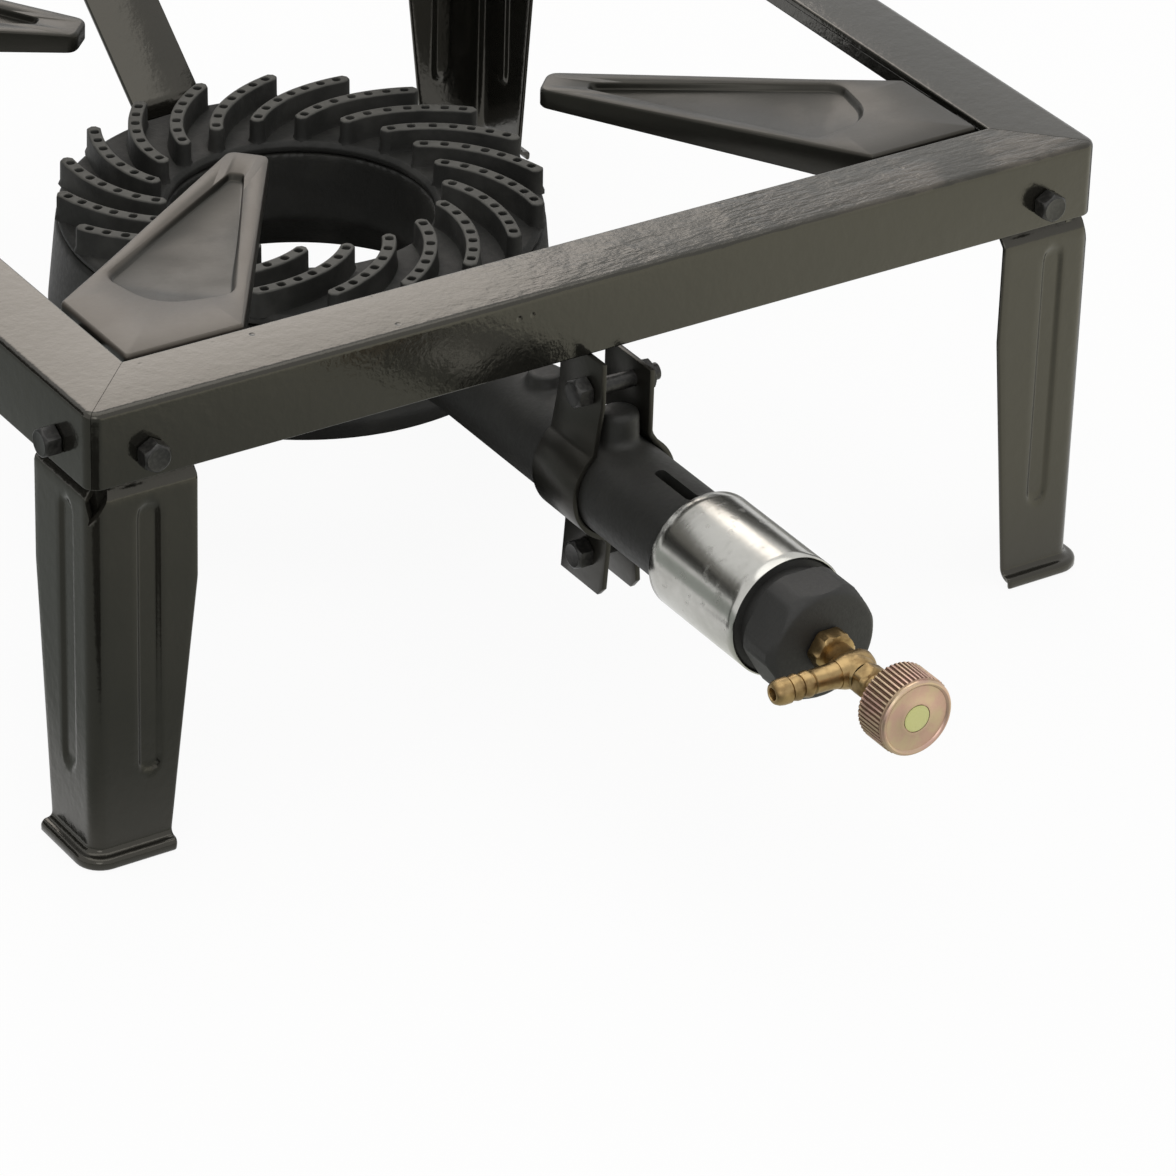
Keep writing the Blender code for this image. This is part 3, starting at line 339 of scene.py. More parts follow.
def rubbed_iron(name, shades):
    """Cast iron whose upper faces are rubbed grey."""
    material, w, inputs = start_finish(name, Specular_IOR_Level=0.3)
    at = w.place()
    grain = w.noise(at, 520.0, 4.0, 0.6)
    height = w.split(at, "Z")
    patches = w.noise(at, 130.0, 3.0)
    edge = w.spread(height + patches * 0.8 * MM, CROWN_HIGH.z - 0.25 * MM, CROWN_HIGH.z + 0.25 * MM)
    worn = edge * (0.45 + patches * 0.75)
    dust = w.spread(w.noise(at, 40.0), 0.4, 0.7)
    body = w.blend(dust * 0.7, shades.iron, shades.iron_dust)
    feed(inputs,
         Base_Color=w.blend(worn, body, shades.iron_worn),
         Roughness=0.5 + grain * 0.25,
         Normal=w.bump(grain, 0.28, 0.5 * MM))
    return material


def blackened(name, shades):
    """Oiled black of the hexagon fasteners."""
    material, w, inputs = start_finish(name, Metallic=0.25)
    fine = w.noise(w.place(), 700.0, 3.0)
    feed(inputs,
         Base_Color=w.blend(w.spread(fine, 0.4, 0.7), shades.bolt_black, shades.bolt_grey),
         Roughness=0.30 + fine * 0.18,
         Normal=w.bump(fine, 0.12, 0.3 * MM))
    return material


def zinc(name, shades):
    """Rolled zinc-plated sheet: fine streaks round the sleeve and dull spots."""
    material, w, inputs = start_finish(name, Metallic=1.0)
    at = w.place()
    streak = w.noise(w.stretch(at, (60.0, 900.0, 60.0)), 1.0, 4.0, 0.6)
    cloud = w.noise(at, 70.0, 5.0, 0.62)
    spots = w.spread(w.noise(at, 230.0, 3.0), 0.58, 0.70)
    dull = w.spread(cloud, 0.35, 0.7) * 0.5 + spots * 0.35
    feed(inputs,
         Base_Color=w.blend(dull, shades.zinc, shades.zinc_dull),
         Roughness=0.15 + cloud * 0.10 + spots * 0.10,
         Normal=w.bump(streak * 0.5 + cloud, 0.07, 0.5 * MM))
    return material


def turned_brass(name, shades):
    """Turned brass with tarnish and fine tool marks."""
    material, w, inputs = start_finish(name, Metallic=1.0)
    at = w.place()
    tarnish = w.spread(w.noise(at, 160.0, 4.0), 0.40, 0.68)
    fine = w.noise(at, 900.0, 3.0)
    feed(inputs,
         Base_Color=w.blend(tarnish * 0.65, shades.brass, shades.brass_dark),
         Roughness=0.24 + tarnish * 0.16 + fine * 0.1,
         Normal=w.bump(fine, 0.14, 0.3 * MM))
    return material


def passivated_zinc(name, shades):
    """Yellow passivated zinc with pink patches, and grime between the knurls."""
    material, w, inputs = start_finish(name, Metallic=1.0)
    at = w.place()
    patch = w.spread(w.noise(at, 150.0, 4.0), 0.36, 0.64)
    fine = w.noise(at, 800.0, 3.0)
    x, z = w.split(at, "X"), w.split(at, "Z") - AXIS_Z
    reach = w.node("ShaderNodeMath", {"operation": "SQRT"}, {0: x * x + z * z})
    behind_face = w.spread(w.split(at, "Y"), KNOB_FACE + 1.5 * MM, KNOB_FACE + 2.2 * MM)
    rim = w.spread(reach, 12.9 * MM, 13.2 * MM) * behind_face
    grime = rim * w.spread(reach + fine * 0.3 * MM, 13.65 * MM, 14.1 * MM, 1.0, 0.0)
    clean = w.blend(patch, shades.gold, shades.gold_pink)
    feed(inputs,
         Base_Color=w.blend(grime * 0.9, clean, shades.gold_dirt),
         Roughness=0.28 + fine * 0.16 + grime * 0.2,
         Normal=w.bump(fine, 0.15, 0.3 * MM))
    return material


def green_enamel(name, shades):
    """Plain green paint of the knob's disc."""
    material, w, inputs = start_finish(name)
    fine = w.noise(w.place(), 600.0, 3.0)
    feed(inputs,
         Base_Color=w.blend(fine * 0.5, shades.green, shades.green_pale),
         Roughness=0.38 + fine * 0.2,
         Normal=w.bump(fine, 0.1, 0.3 * MM))
    return material


def grey_casting(name, shades):
    """Dull dark grey of the nozzle cap, with a fine cast grain."""
    material, w, inputs = start_finish(name)
    at = w.place()
    grain = w.noise(at, 750.0, 4.0, 0.6)
    cloud = w.spread(w.noise(at, 60.0, 4.0), 0.35, 0.7)
    feed(inputs,
         Base_Color=w.blend(cloud * 0.6, shades.cap, shades.cap_pale),
         Roughness=0.5 + grain * 0.22,
         Normal=w.bump(grain, 0.3, 0.4 * MM))
    return material


FINISHES = {
    "enamel": (enamel, "black_paint"),
    "support_enamel": (support_enamel, "black_paint"),
    "wrinkled_enamel": (wrinkled_enamel, "black_paint"),
    "sand_cast_iron": (sand_cast_iron, "cast_iron"),
    "rubbed_iron": (rubbed_iron, "cast_iron"),
    "blackened": (blackened, "dark_steel"),
    "zinc": (zinc, "zinc_plate"),
    "turned_brass": (turned_brass, "brass"),
    "passivated_zinc": (passivated_zinc, "yellow_zinc"),
    "green_enamel": (green_enamel, "green_disc"),
    "grey_casting": (grey_casting, "grey_iron"),
}


def close_mesh(verts, faces):
    """A mesh of these faces with doubles merged and normals facing out."""
    mesh = bpy.data.meshes.new("shape")
    shape = bmesh.new()
    points = [shape.verts.new(v) for v in verts]
    for face in faces:
        shape.faces.new([points[i] for i in face])
    bmesh.ops.remove_doubles(shape, verts=shape.verts, dist=1e-6)
    bmesh.ops.dissolve_degenerate(shape, edges=shape.edges, dist=1e-7)
    bmesh.ops.recalc_face_normals(shape, faces=shape.faces)
    shape.to_mesh(mesh)
    shape.free()
    return mesh


def add_object(name, mesh):
    mesh.name = name
    piece = bpy.data.objects.new(name, mesh)
    bpy.context.scene.collection.objects.link(piece)
    return piece


def coat(mesh, finish):
    """Gives a mesh one finish, made at its first use, and returns the slot that the finish belongs to."""
    maker, slot = FINISHES[finish]
    made = bpy.data.materials.get(finish) or maker(finish, bpy.context.scene.stand_finishes)
    mesh.materials.clear()
    mesh.materials.append(made)
    return slot


def dress(piece, finish, body, node, smooth=38):
    """Coats and shades a piece and hangs it on a body in place of a CAD node."""
    slot = coat(piece.data, finish)
    piece.data.shade_smooth()
    piece.data.set_sharp_from_angle(angle=math.radians(smooth))
    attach(piece, body)
    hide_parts(node)


def add_piece(name, shape, finish, body, node, smooth=38):
    dress(add_object(name, close_mesh(*shape)), finish, body, node, smooth)


def loft(rings, ring_closed=True, path_closed=False):
    """Skin over equal rings of points, with flat ends where the path is open."""
    size = len(rings[0])
    count = len(rings)
    faces = []
    for i in range(count if path_closed else count - 1):
        a, b = i * size, (i + 1) % count * size
        for j in range(size if ring_closed else size - 1):
            k = (j + 1) % size
            faces.append((a + j, a + k, b + k, b + j))
    if ring_closed and not path_closed:
        faces.append(tuple(range(size)))
        faces.append(tuple(range((count - 1) * size, count * size)))
    return [point for ring in rings for point in ring], faces


def merge(*shapes):
    """Several shapes as one list of points and one of faces."""
    verts, faces = [], []
    for points, polygons in shapes:
        start = len(verts)
        verts += points
        faces += [tuple(start + i for i in polygon) for polygon in polygons]
    return verts, faces


def move(shape, matrix):
    return [matrix @ Vector(point) for point in shape[0]], shape[1]


def fillet(points, radii, steps=4, closed=True):
    """A 2-D line with its corners rounded; one radius for all corners or one each."""
    most_of_side = 0.49
    count = len(points)
    made = []
    for i, point in enumerate(points):
        here = Vector(point)
        radius = radii[i] if isinstance(radii, (list, tuple)) else radii
        if radius <= 0 or (not closed and i in (0, count - 1)):
            made.append(here)
            continue
        before = Vector(points[i - 1]) - here
        after = Vector(points[(i + 1) % count]) - here
        bend = before.angle(after)
        reach = min(radius / math.tan(bend / 2), before.length * most_of_side, after.length * most_of_side)
        start, end = here + before.normalized() * reach, here + after.normalized() * reach
        for k in range(steps + 1):
            t = k / steps
            made.append(start * (1 - t) ** 2 + here * 2 * t * (1 - t) + end * t ** 2)
    return made


def ease(value):
    """Smooth step from 0 to 1."""
    value = min(1.0, max(0.0, value))
    return value * value * (3 - 2 * value)


def upright(radius, angle, height):
    return Vector((radius * math.cos(angle), radius * math.sin(angle), height))


def along_tube(radius, angle, distance):
    return Vector((radius * math.cos(angle), RING_Y - distance, AXIS_Z + radius * math.sin(angle)))


def along_ring(radius, angle, height):
    return Vector((radius * math.cos(angle), RING_Y + radius * math.sin(angle), height))


def along_barb(radius, angle, distance):
    return Vector((-distance, BARB_Y + radius * math.cos(angle), AXIS_Z + radius * math.sin(angle)))


def turned(profile, place, steps=64, path_closed=False, outline=None):
    """A turned piece; outline limits the radius at each angle, as a hexagon does."""
    rings = []
    for radius, distance in profile:
        ring = []
        for k in range(steps):
            angle = 2 * math.pi * k / steps
            ring.append(place(outline(angle, radius) if outline else radius, angle, distance))
        rings.append(ring)
    return loft(rings, True, path_closed)


def hexagon(flats, rounding, turn=0.0, least=0.0):
    """Limits any radius above the least one to a hexagon with rounded corners."""
    def limit(angle, radius):
        if radius <= least:
            return radius
        off = (angle + turn + TWELFTH_TURN) % SIXTH_TURN - TWELFTH_TURN
        return min(radius, flats / 2 / math.cos(off), flats / 2 * rounding)
    return limit


def between(first, second, count):
    """Evenly spaced profile rows after the first one, up to and with the second."""
    return [tuple(a + (b - a) * k / count for a, b in zip(first, second)) for k in range(1, count + 1)]


def hex_radii(flats):
    """Radius to a fastener's corners, and of the round face that its chamfer leaves."""
    face_share = 0.93
    return flats / 2 / math.cos(TWELFTH_TURN), flats / 2 * face_share


def hex_turned(rows, flats, closed):
    return turned(rows, upright, steps=48, path_closed=closed, outline=hexagon(flats, rounding=1.16))


def hex_bolt(flats, high, shank, radius, end):
    """Chamfered hexagon head on its seat at z = 0, growing along +Z, with its shank below."""
    corner, face = hex_radii(flats)
    rows = [(radius, -shank), (radius, 0.0), (face, 0.0), (corner, 0.4 * MM), (corner, high - 1.1 * MM)]
    rows += between(rows[-1], (face, high), 4)
    rows += [(end + 0.7 * MM, high + 0.1 * MM), (end, high - 0.1 * MM)]
    return hex_turned(rows, flats, False)


def hex_nut(flats, high, bore):
    """Hexagon nut that stands on z = 0, chamfered on both sides."""
    corner, face = hex_radii(flats)
    chamfer, edge = 0.8 * MM, 0.4 * MM
    rows = [(bore, edge), (bore + edge, 0.0), (face, 0.0)]
    rows += between(rows[-1], (corner, chamfer), 3)
    rows.append((corner, high - chamfer))
    rows += between(rows[-1], (face, high), 3)
    rows += [(bore + edge, high), (bore, high - edge)]
    return hex_turned(rows, flats, True)


def outward(seat, way):
    """Moves a shape's origin to a seat and turns its +Z to a direction."""
    return Matrix.Translation(seat) @ Vector(way).to_track_quat("Z", "Y").to_matrix().to_4x4()


def cut_away(piece, cutter_shape):
    """Cuts one closed shape out of a piece."""
    cutter = add_object("cutter", close_mesh(*cutter_shape))
    modifier = piece.modifiers.new("cut", "BOOLEAN")
    modifier.operation = "DIFFERENCE"
    modifier.solver = "EXACT"
    modifier.object = cutter
    bake_modifiers(piece)
    bpy.data.objects.remove(cutter, do_unlink=True)


def join_shape(piece, shape):
    """Adds one more closed shape to a piece's mesh."""
    joined = bmesh.new()
    joined.from_mesh(piece.data)
    extra = close_mesh(*shape)
    joined.from_mesh(extra)
    joined.to_mesh(piece.data)
    joined.free()
    bpy.data.meshes.remove(extra)


def bake_modifiers(piece):
    """Turns what a piece's modifiers make into its own mesh."""
    bpy.context.view_layer.update()
    graph = bpy.context.evaluated_depsgraph_get()
    mesh = bpy.data.meshes.new_from_object(piece.evaluated_get(graph))
    piece.modifiers.clear()
    piece.data = mesh
    mesh.name = piece.name


def soften(piece, width):
    """Rounds a piece's sharp edges."""
    modifier = piece.modifiers.new("soften", "BEVEL")
    modifier.width = width
    modifier.segments = 2
    modifier.limit_method = "ANGLE"
    modifier.angle_limit = math.radians(40)
    bake_modifiers(piece)


def box_shape(low, high):
    corners = ((low[0], low[1]), (high[0], low[1]), (high[0], high[1]), (low[0], high[1]))
    return loft([[Vector((x, y, z)) for x, y in corners] for z in (low[2], high[2])])


def frame_turn(index):
    """Turns the front side into the right, back and left ones, about the frame's middle."""
    return Matrix.Translation((0, FRAME_Y, 0)) @ Matrix.Rotation(math.pi / 2 * index, 4, "Z")


def bar_section(sizes):
    """Angle bar's section as (depth in from the outer face, height), with its bend and soft toes."""
    wide, thick, bend = sizes.angle_width, sizes.angle_thick, sizes.bend
    corners = [(0, LOW), (0, TOP), (wide, TOP), (wide, TOP - thick), (thick, TOP - thick), (thick, LOW)]
    return fillet(corners, [0.7 * MM, bend, 0.9 * MM, 0.9 * MM, 2.2 * MM, 0.7 * MM], 5)


def frame_bar(index, sizes):
    """One angle bar, rounded at the frame's corners and mitred to its neighbours."""
    turn = frame_turn(index)
    wide, corner = sizes.angle_width, sizes.corner
    centre, inner = HALF - corner, HALF - wide
    section = bar_section(sizes)
    half_corner = [math.radians(225 + 45 * k / 6) for k in range(7)]
    cuts = [(-1, a) for a in half_corner] + [(1, math.radians(540) - a) for a in reversed(half_corner)]
    rings = []
    for side, angle in cuts:
        base = Vector((side * (centre - sizes.mitre), -centre))
        tip = Vector((side * (inner - sizes.mitre), -inner))
        way = Vector((math.cos(angle), math.sin(angle)))
        ring = []
        for depth, z in section:
            if depth < corner:
                point = base + way * (corner - depth)
            else:
                point = base + (tip - base) * (depth - corner) / (wide - corner)
            ring.append(turn @ Vector((point.x, point.y, z)))
        rings.append(ring)
    return loft(rings)


class STAND_OT_frame(bpy.types.Operator):
    """Bends and mitres the four angle bars"""

    bl_idname = "stand.frame"
    bl_label = "Frame bars"

    def execute(self, context):
        for index, side in enumerate(SIDES):
            finish = "wrinkled_enamel" if side == "front" else "enamel"
            shape = frame_bar(index, context.scene.stand_sizes)
            add_piece(f"angle_bar_{side}", shape, finish, "stand", f"frame_{side}")
        return {"FINISHED"}


def leg_path(sizes):
    """(offset out of the frame's face, height) down a leg's outer skin, then its inner skin."""
    tab = -sizes.angle_thick - 0.3 * MM
    outer = [(tab, TOP - 8 * MM), (tab, LOW + 1 * MM), (tab, LOW - 0.4 * MM), (tab * 0.5, LOW - 2.2 * MM),
             (-0.4 * MM, LOW - 3.6 * MM), (0, LOW - 5 * MM), (0, LOW - 8 * MM)]
    start, end, rows = LOW - 8 * MM, 6.6 * MM, 72
    outer += [(0, start + (end - start) * k / rows) for k in range(1, rows + 1)]
    lip, flare, roll = sizes.foot_lip, 2.4 * MM, 2 * MM
    quarter = [math.pi / 2 * k / 6 for k in range(1, 7)]
    outer += [(flare * (1 - math.cos(a)), 6.4 * MM - flare * math.sin(a)) for a in quarter]
    outer += [(lip - roll * (1 - math.sin(a)), 4 * MM - roll * (1 - math.cos(a))) for a in quarter]
    outer += [(lip, 0.6 * MM), (lip - 0.4 * MM, 0.0)]
    inner = []
    for i, (offset, z) in enumerate(outer):
        before, after = Vector(outer[max(0, i - 1)]), Vector(outer[min(len(outer) - 1, i + 1)])
        way = (after - before).normalized()
        inner.append((offset + way.y * sizes.sheet, max(0.0, z - way.x * sizes.sheet)))
    inner[-2:] = [(lip - sizes.sheet, 0.6 * MM), (lip - sizes.sheet + 0.4 * MM, 0.0)]
    return outer, inner


def groove_sink(along, z, middle, sizes):
    """How deep a leg's groove is at one point; both of its ends are round."""
    top, foot, steepness = LOW - 13.5 * MM, 35 * MM, 2.4
    reach = math.hypot(along - middle, z - min(top, max(foot, z)))
    return sizes.groove_depth * ease(steepness * (1 - reach / (sizes.groove / 2)))


def spaced(start, end, count):
    """Evenly spaced values from the start, short of the end."""
    return [start + (end - start) * k / count for k in range(count)]


def leg_face(offset, z, inner, top, middle, sizes):
    """(Along, depth) across one face at one level, from its free edge to the leg's corner."""
    share = min(1.0, max(0.0, z / (LOW - sizes.leg_straight)))
    width = sizes.leg_foot + (top - sizes.leg_foot) * share
    half, side = sizes.groove / 2, -1 if inner else 1
    points = [(width, side * 0.5 * MM - offset), (width - 0.4 * MM, side * 0.1 * MM - offset)]
    across = spaced(width - 0.8 * MM, middle + half, 6) + spaced(middle + half, middle - half, 24)
    for along in across + spaced(middle - half, sizes.corner, 6) + [sizes.corner]:
        sink = groove_sink(along, z, middle, sizes) if z < LOW - 5.5 * MM else 0.0
        points.append((along, sink - offset))
    return points


def leg_ring(offset, z, inner, sizes):
    """One level of a leg's skin, from the wide face's free edge round the corner to the slim face's."""
    points = leg_face(offset, z, inner, sizes.leg_wide, sizes.groove_wide_at, sizes)
    radius = sizes.corner + offset
    for k in range(1, 8):
        a = math.pi / 2 * k / 8
        points.append((sizes.corner - radius * math.sin(a), sizes.corner - radius * math.cos(a)))
    slim = leg_face(offset, z, inner, sizes.leg_slim, sizes.groove_slim_at, sizes)
    return points + [(depth, along) for along, depth in reversed(slim)]


def leg_turn(index):
    """Takes a shape drawn from a corner of the frame at the origin to one of the four corners."""
    return frame_turn(index) @ Matrix.Translation((-HALF, -HALF, 0))


def pressed_leg(index, sizes):
    """Sheet leg: outer skin down, inner skin up, and the free edges closed between them."""
    turn = leg_turn(index)
    outer, inner = leg_path(sizes)
    rings = []
    for path, inside in ((outer, False), (list(reversed(inner)), True)):
        for offset, z in path:
            rings.append([turn @ Vector((x, y, z)) for x, y in leg_ring(offset, z, inside, sizes)])
    verts, faces = loft(rings, ring_closed=False, path_closed=True)
    size, rows = len(rings[0]), len(rings)
    for j in (0, size - 1):
        for i in range(rows // 2 - 1):
            k = rows - 1 - i
            faces.append((i * size + j, (i + 1) * size + j, (k - 1) * size + j, k * size + j))
    return verts, faces


def corner_notch(index):
    """Wedge cut out of a leg's corner just under the frame, further along one face than the other."""
    turn = leg_turn(index)
    rows = []
    for drop, wide, deep in ((0.6, 8.0, 3.6), (5.0, 6.0, 3.2), (13.0, 1.0, 1.0)):
        corners = ((-1, -1), (wide, -1), (wide, deep + 2), (-1, deep))
        rows.append([turn @ Vector((x * MM, y * MM, LOW - drop * MM)) for x, y in corners])
    return loft(rows)


def corner_fill(index):
    """Weld behind the notch, with a face across the corner."""
    turn = leg_turn(index)
    corners = ((2.0, 8.0), (8.0, 2.0), (10.5, 2.0), (10.5, 4.5), (4.5, 10.5), (2.0, 10.5))
    rows = [[turn @ Vector((x * MM, y * MM, LOW - drop * MM)) for x, y in corners] for drop in (0.8, 14.0)]
    return loft(rows)


class STAND_OT_legs(bpy.types.Operator):
    """Presses the four legs with their grooves, corner notches and turned-out feet"""

    bl_idname = "stand.legs"
    bl_label = "Legs"

    def execute(self, context):
        for index, corner in enumerate(CORNERS):
            shape = pressed_leg(index, context.scene.stand_sizes)
            leg = add_object(f"pressed_leg_{corner}", close_mesh(*shape))
            cut_away(leg, corner_notch(index))
            join_shape(leg, corner_fill(index))
            dress(leg, "enamel", "stand", f"leg_{corner}", 60)
        return {"FINISHED"}


class STAND_OT_fasteners(bpy.types.Operator):
    """Sets the hexagon bolts and nuts of the legs, the clamp and the rear strap"""

    bl_idname = "stand.fasteners"
    bl_label = "Bolts and nuts"

    def execute(self, context):
        sizes = context.scene.stand_sizes
        head = sizes.bolt_head
        bolts = [(f"leg_bolt_{corner}_{label}", f"leg_nut_{corner}_{label}")
                 for corner in CORNERS for label in ("a", "b")]
        bolts += [(f"clamp_bolt_{end}", f"clamp_nut_{end}") for end in ("top", "ear")]
        bolts.append(("strap_bolt", None))
        for bolt, nut in bolts:
            low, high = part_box(bolt)
            spans = high - low
            axis = max(range(3), key=lambda k: spans[k])
            middle = (low + high) / 2
            way = Vector((0, 0, 0))
            way[axis] = self.head_side(bolt, axis, middle)
            tip = high[axis] if way[axis] > 0 else low[axis]
            seat = middle.copy()
            seat[axis] = tip - way[axis] * head
            shank = spans[axis] - head - 0.2 * MM
            made = hex_bolt(sizes.bolt_flats, head, shank, radius=3 * MM, end=3.4 * MM)
            shape = move(made, outward(seat, way))
            add_piece(f"hex_{bolt}", shape, "blackened", "stand", bolt, 30)
            if nut:
                low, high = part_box(nut)
                seat = (low + high) / 2
                seat[axis] = high[axis] if way[axis] > 0 else low[axis]
                made = hex_nut(sizes.nut_flats, sizes.nut_high, bore=3.25 * MM)
                shape = move(made, outward(seat, -way))
                add_piece(f"hex_{nut}", shape, "blackened", "stand", nut, 30)
        return {"FINISHED"}

    @staticmethod
    def head_side(bolt, axis, middle):
        """+1 or -1: the end of the bolt's box where its head is."""
        heads = {"clamp_bolt_top": -1, "clamp_bolt_ear": -1, "strap_bolt": 1}
        if bolt in heads:
            return heads[bolt]
        centre = (0, FRAME_Y, 0)[axis]
        return 1 if middle[axis] > centre else -1


def ray_reach(polygon, angle):
    """Distance from the origin to a star-shaped outline in one direction."""
    way = Vector((math.cos(angle), math.sin(angle)))
    best = 0.0
    for i, first in enumerate(polygon):
        edge = Vector(polygon[(i + 1) % len(polygon)]) - Vector(first)
        cross = way.x * edge.y - way.y * edge.x
        if abs(cross) < 1e-12:
            continue
        share = (first[0] * way.y - first[1] * way.x) / cross
        reach = (first[0] * edge.y - first[1] * edge.x) / cross
        if -1e-9 <= share <= 1 + 1e-9:
            best = max(best, reach)
    return best


def pot_support(index, sizes):
    """Pressed gusset: rolled edges turned down, sunk teardrop panel, two weld tabs."""
    edge, tip, tip_half = 44 * MM, 84.5 * MM, 7 * MM
    tab_long, tab_wide, tab_round = 14 * MM, 9 * MM, 2.5 * MM
    ray_count = 96
    far = (HALF - sizes.angle_width - 2.5 * MM) * math.sqrt(2)
    wing = edge / math.sqrt(2)
    back = far - wing
    # The skin runs along rays from a pivot inside the panel, and its outlines are drawn from there.
    pivot = tip + (far - tip) * 0.62
    outline = fillet([(tip - pivot, -tip_half), (back - pivot, -wing), (far - pivot, 0),
                      (back - pivot, wing), (tip - pivot, tip_half)],
                     [4 * MM, 1.5 * MM, 1.5 * MM, 1.5 * MM, 4 * MM], 5)
    nose, wide, broad = tip + 16 * MM - pivot, back - 21 * MM - pivot, wing - 8 * MM
    slim, end = 2.6 * MM, back - 5 * MM - pivot
    panel = fillet([(nose, -slim), (wide, -broad), (end, 0), (wide, broad), (nose, slim)],
                   [2.4 * MM, 9 * MM, 26 * MM, 9 * MM, 2.4 * MM], 8)
    angles = {round(2 * math.pi * k / ray_count, 5) for k in range(ray_count)}
    angles |= {round(math.atan2(p.y, p.x) % (2 * math.pi), 5) for p in outline + panel}
    angles = sorted(angles)
    outline, panel = ([ray_reach([tuple(p) for p in shape], a) for a in angles] for shape in (outline, panel))
    hinge = Matrix.Translation((far, 0, TOP))
    turn = frame_turn(index) @ Matrix.Rotation(math.pi * 1.25, 4, "Z")
    turn = turn @ hinge @ Matrix.Rotation(-sizes.support_dips[index], 4, "Y") @ hinge.inverted()
    t, bend, sunk, step = sizes.sheet, 1.4 * MM, 2.5 * MM, 2.3 * MM

    def ring(radii, inset, height):
        points = []
        for angle, radius in zip(angles, radii):
            x, y = pivot + (radius - inset) * math.cos(angle), (radius - inset) * math.sin(angle)
            points.append(turn @ Vector((x, y, height(x) if callable(height) else height)))
        return points

    def rim(x):
        share = min(1.0, max(0.0, (x - tip) / (back - tip)))
        deep = 7 * MM + 6 * MM * share
        return TOP - (deep + (6 * MM - deep) * ease((x - back) / (6 * MM)))

    rings = []
    for k in range(9):
        rings.append(ring(panel, step * (1 - k / 8), TOP - sunk * (1 - ease(k / 8))))
    for k in range(6):
        a = math.pi / 2 * k / 5
        rings.append(ring(outline, bend * (1 - math.sin(a)), TOP - bend * (1 - math.cos(a))))
    rings.append(ring(outline, 0, lambda x: rim(x) + 0.5 * MM))
    rings.append(ring(outline, 0.5 * MM, rim))
    rings.append(ring(outline, t - 0.4 * MM, rim))
    rings.append(ring(outline, t, lambda x: rim(x) + 0.4 * MM))
    rings.append(ring(outline, t, TOP - bend))
    rings.append(ring(outline, bend, TOP - t))
    for k in range(9):
        rings.append(ring(panel, step * k / 8 - 1.1 * MM, TOP - t - sunk * ease(k / 8)))
    shape = loft(rings)
    tabs = []
    under = TOP - sizes.angle_thick - 0.3 * MM
    for side in (-1, 1):
        way, across = Vector((-1, side, 0)).normalized(), Vector((1, side, 0)).normalized()
        start = Vector((far, 0, 0)) + way * (edge * 0.42)
        corners = fillet([(0, -t * 0.7), (tab_long, -t * 0.7), (tab_long, tab_wide), (0, tab_wide)],
                         [0, 0, tab_round, tab_round], 4)
        rows = []
        for z in (under - t, under):
            rows.append([turn @ (start + way * p.x + across * p.y + Vector((0, 0, z))) for p in corners])
        tabs.append(loft(rows))
    return merge(shape, *tabs)


class STAND_OT_supports(bpy.types.Operator):
    """Presses the four pot supports"""

    bl_idname = "stand.supports"
    bl_label = "Pot supports"

    def execute(self, context):
        for index, corner in enumerate(CORNERS):
            shape = pot_support(index, context.scene.stand_sizes)
            name = f"pressed_support_{corner}"
            add_piece(name, shape, "support_enamel", "stand", f"pot_support_{corner}", 50)
        return {"FINISHED"}


def rib_line(share, sizes):
    """Radius and angle of a rib's centre line; it bends towards the tangent as it runs out."""
    radius = sizes.rib_inner + (sizes.rib_outer - sizes.rib_inner) * share ** RIB_CURVE
    return radius, math.radians(24.7 - 30.5 * share)


def rib_spot(share, offset, stretch, sizes):
    """A point beside a rib's centre line, pushed on along the line by a stretch."""
    def centre(at):
        radius, angle = rib_line(at, sizes)
        return Vector((radius * math.cos(angle), radius * math.sin(angle)))
    way = (centre(min(1, share + 0.01)) - centre(max(0, share - 0.01))).normalized()
    return centre(share) + Vector((-way.y, way.x)) * offset + way * stretch


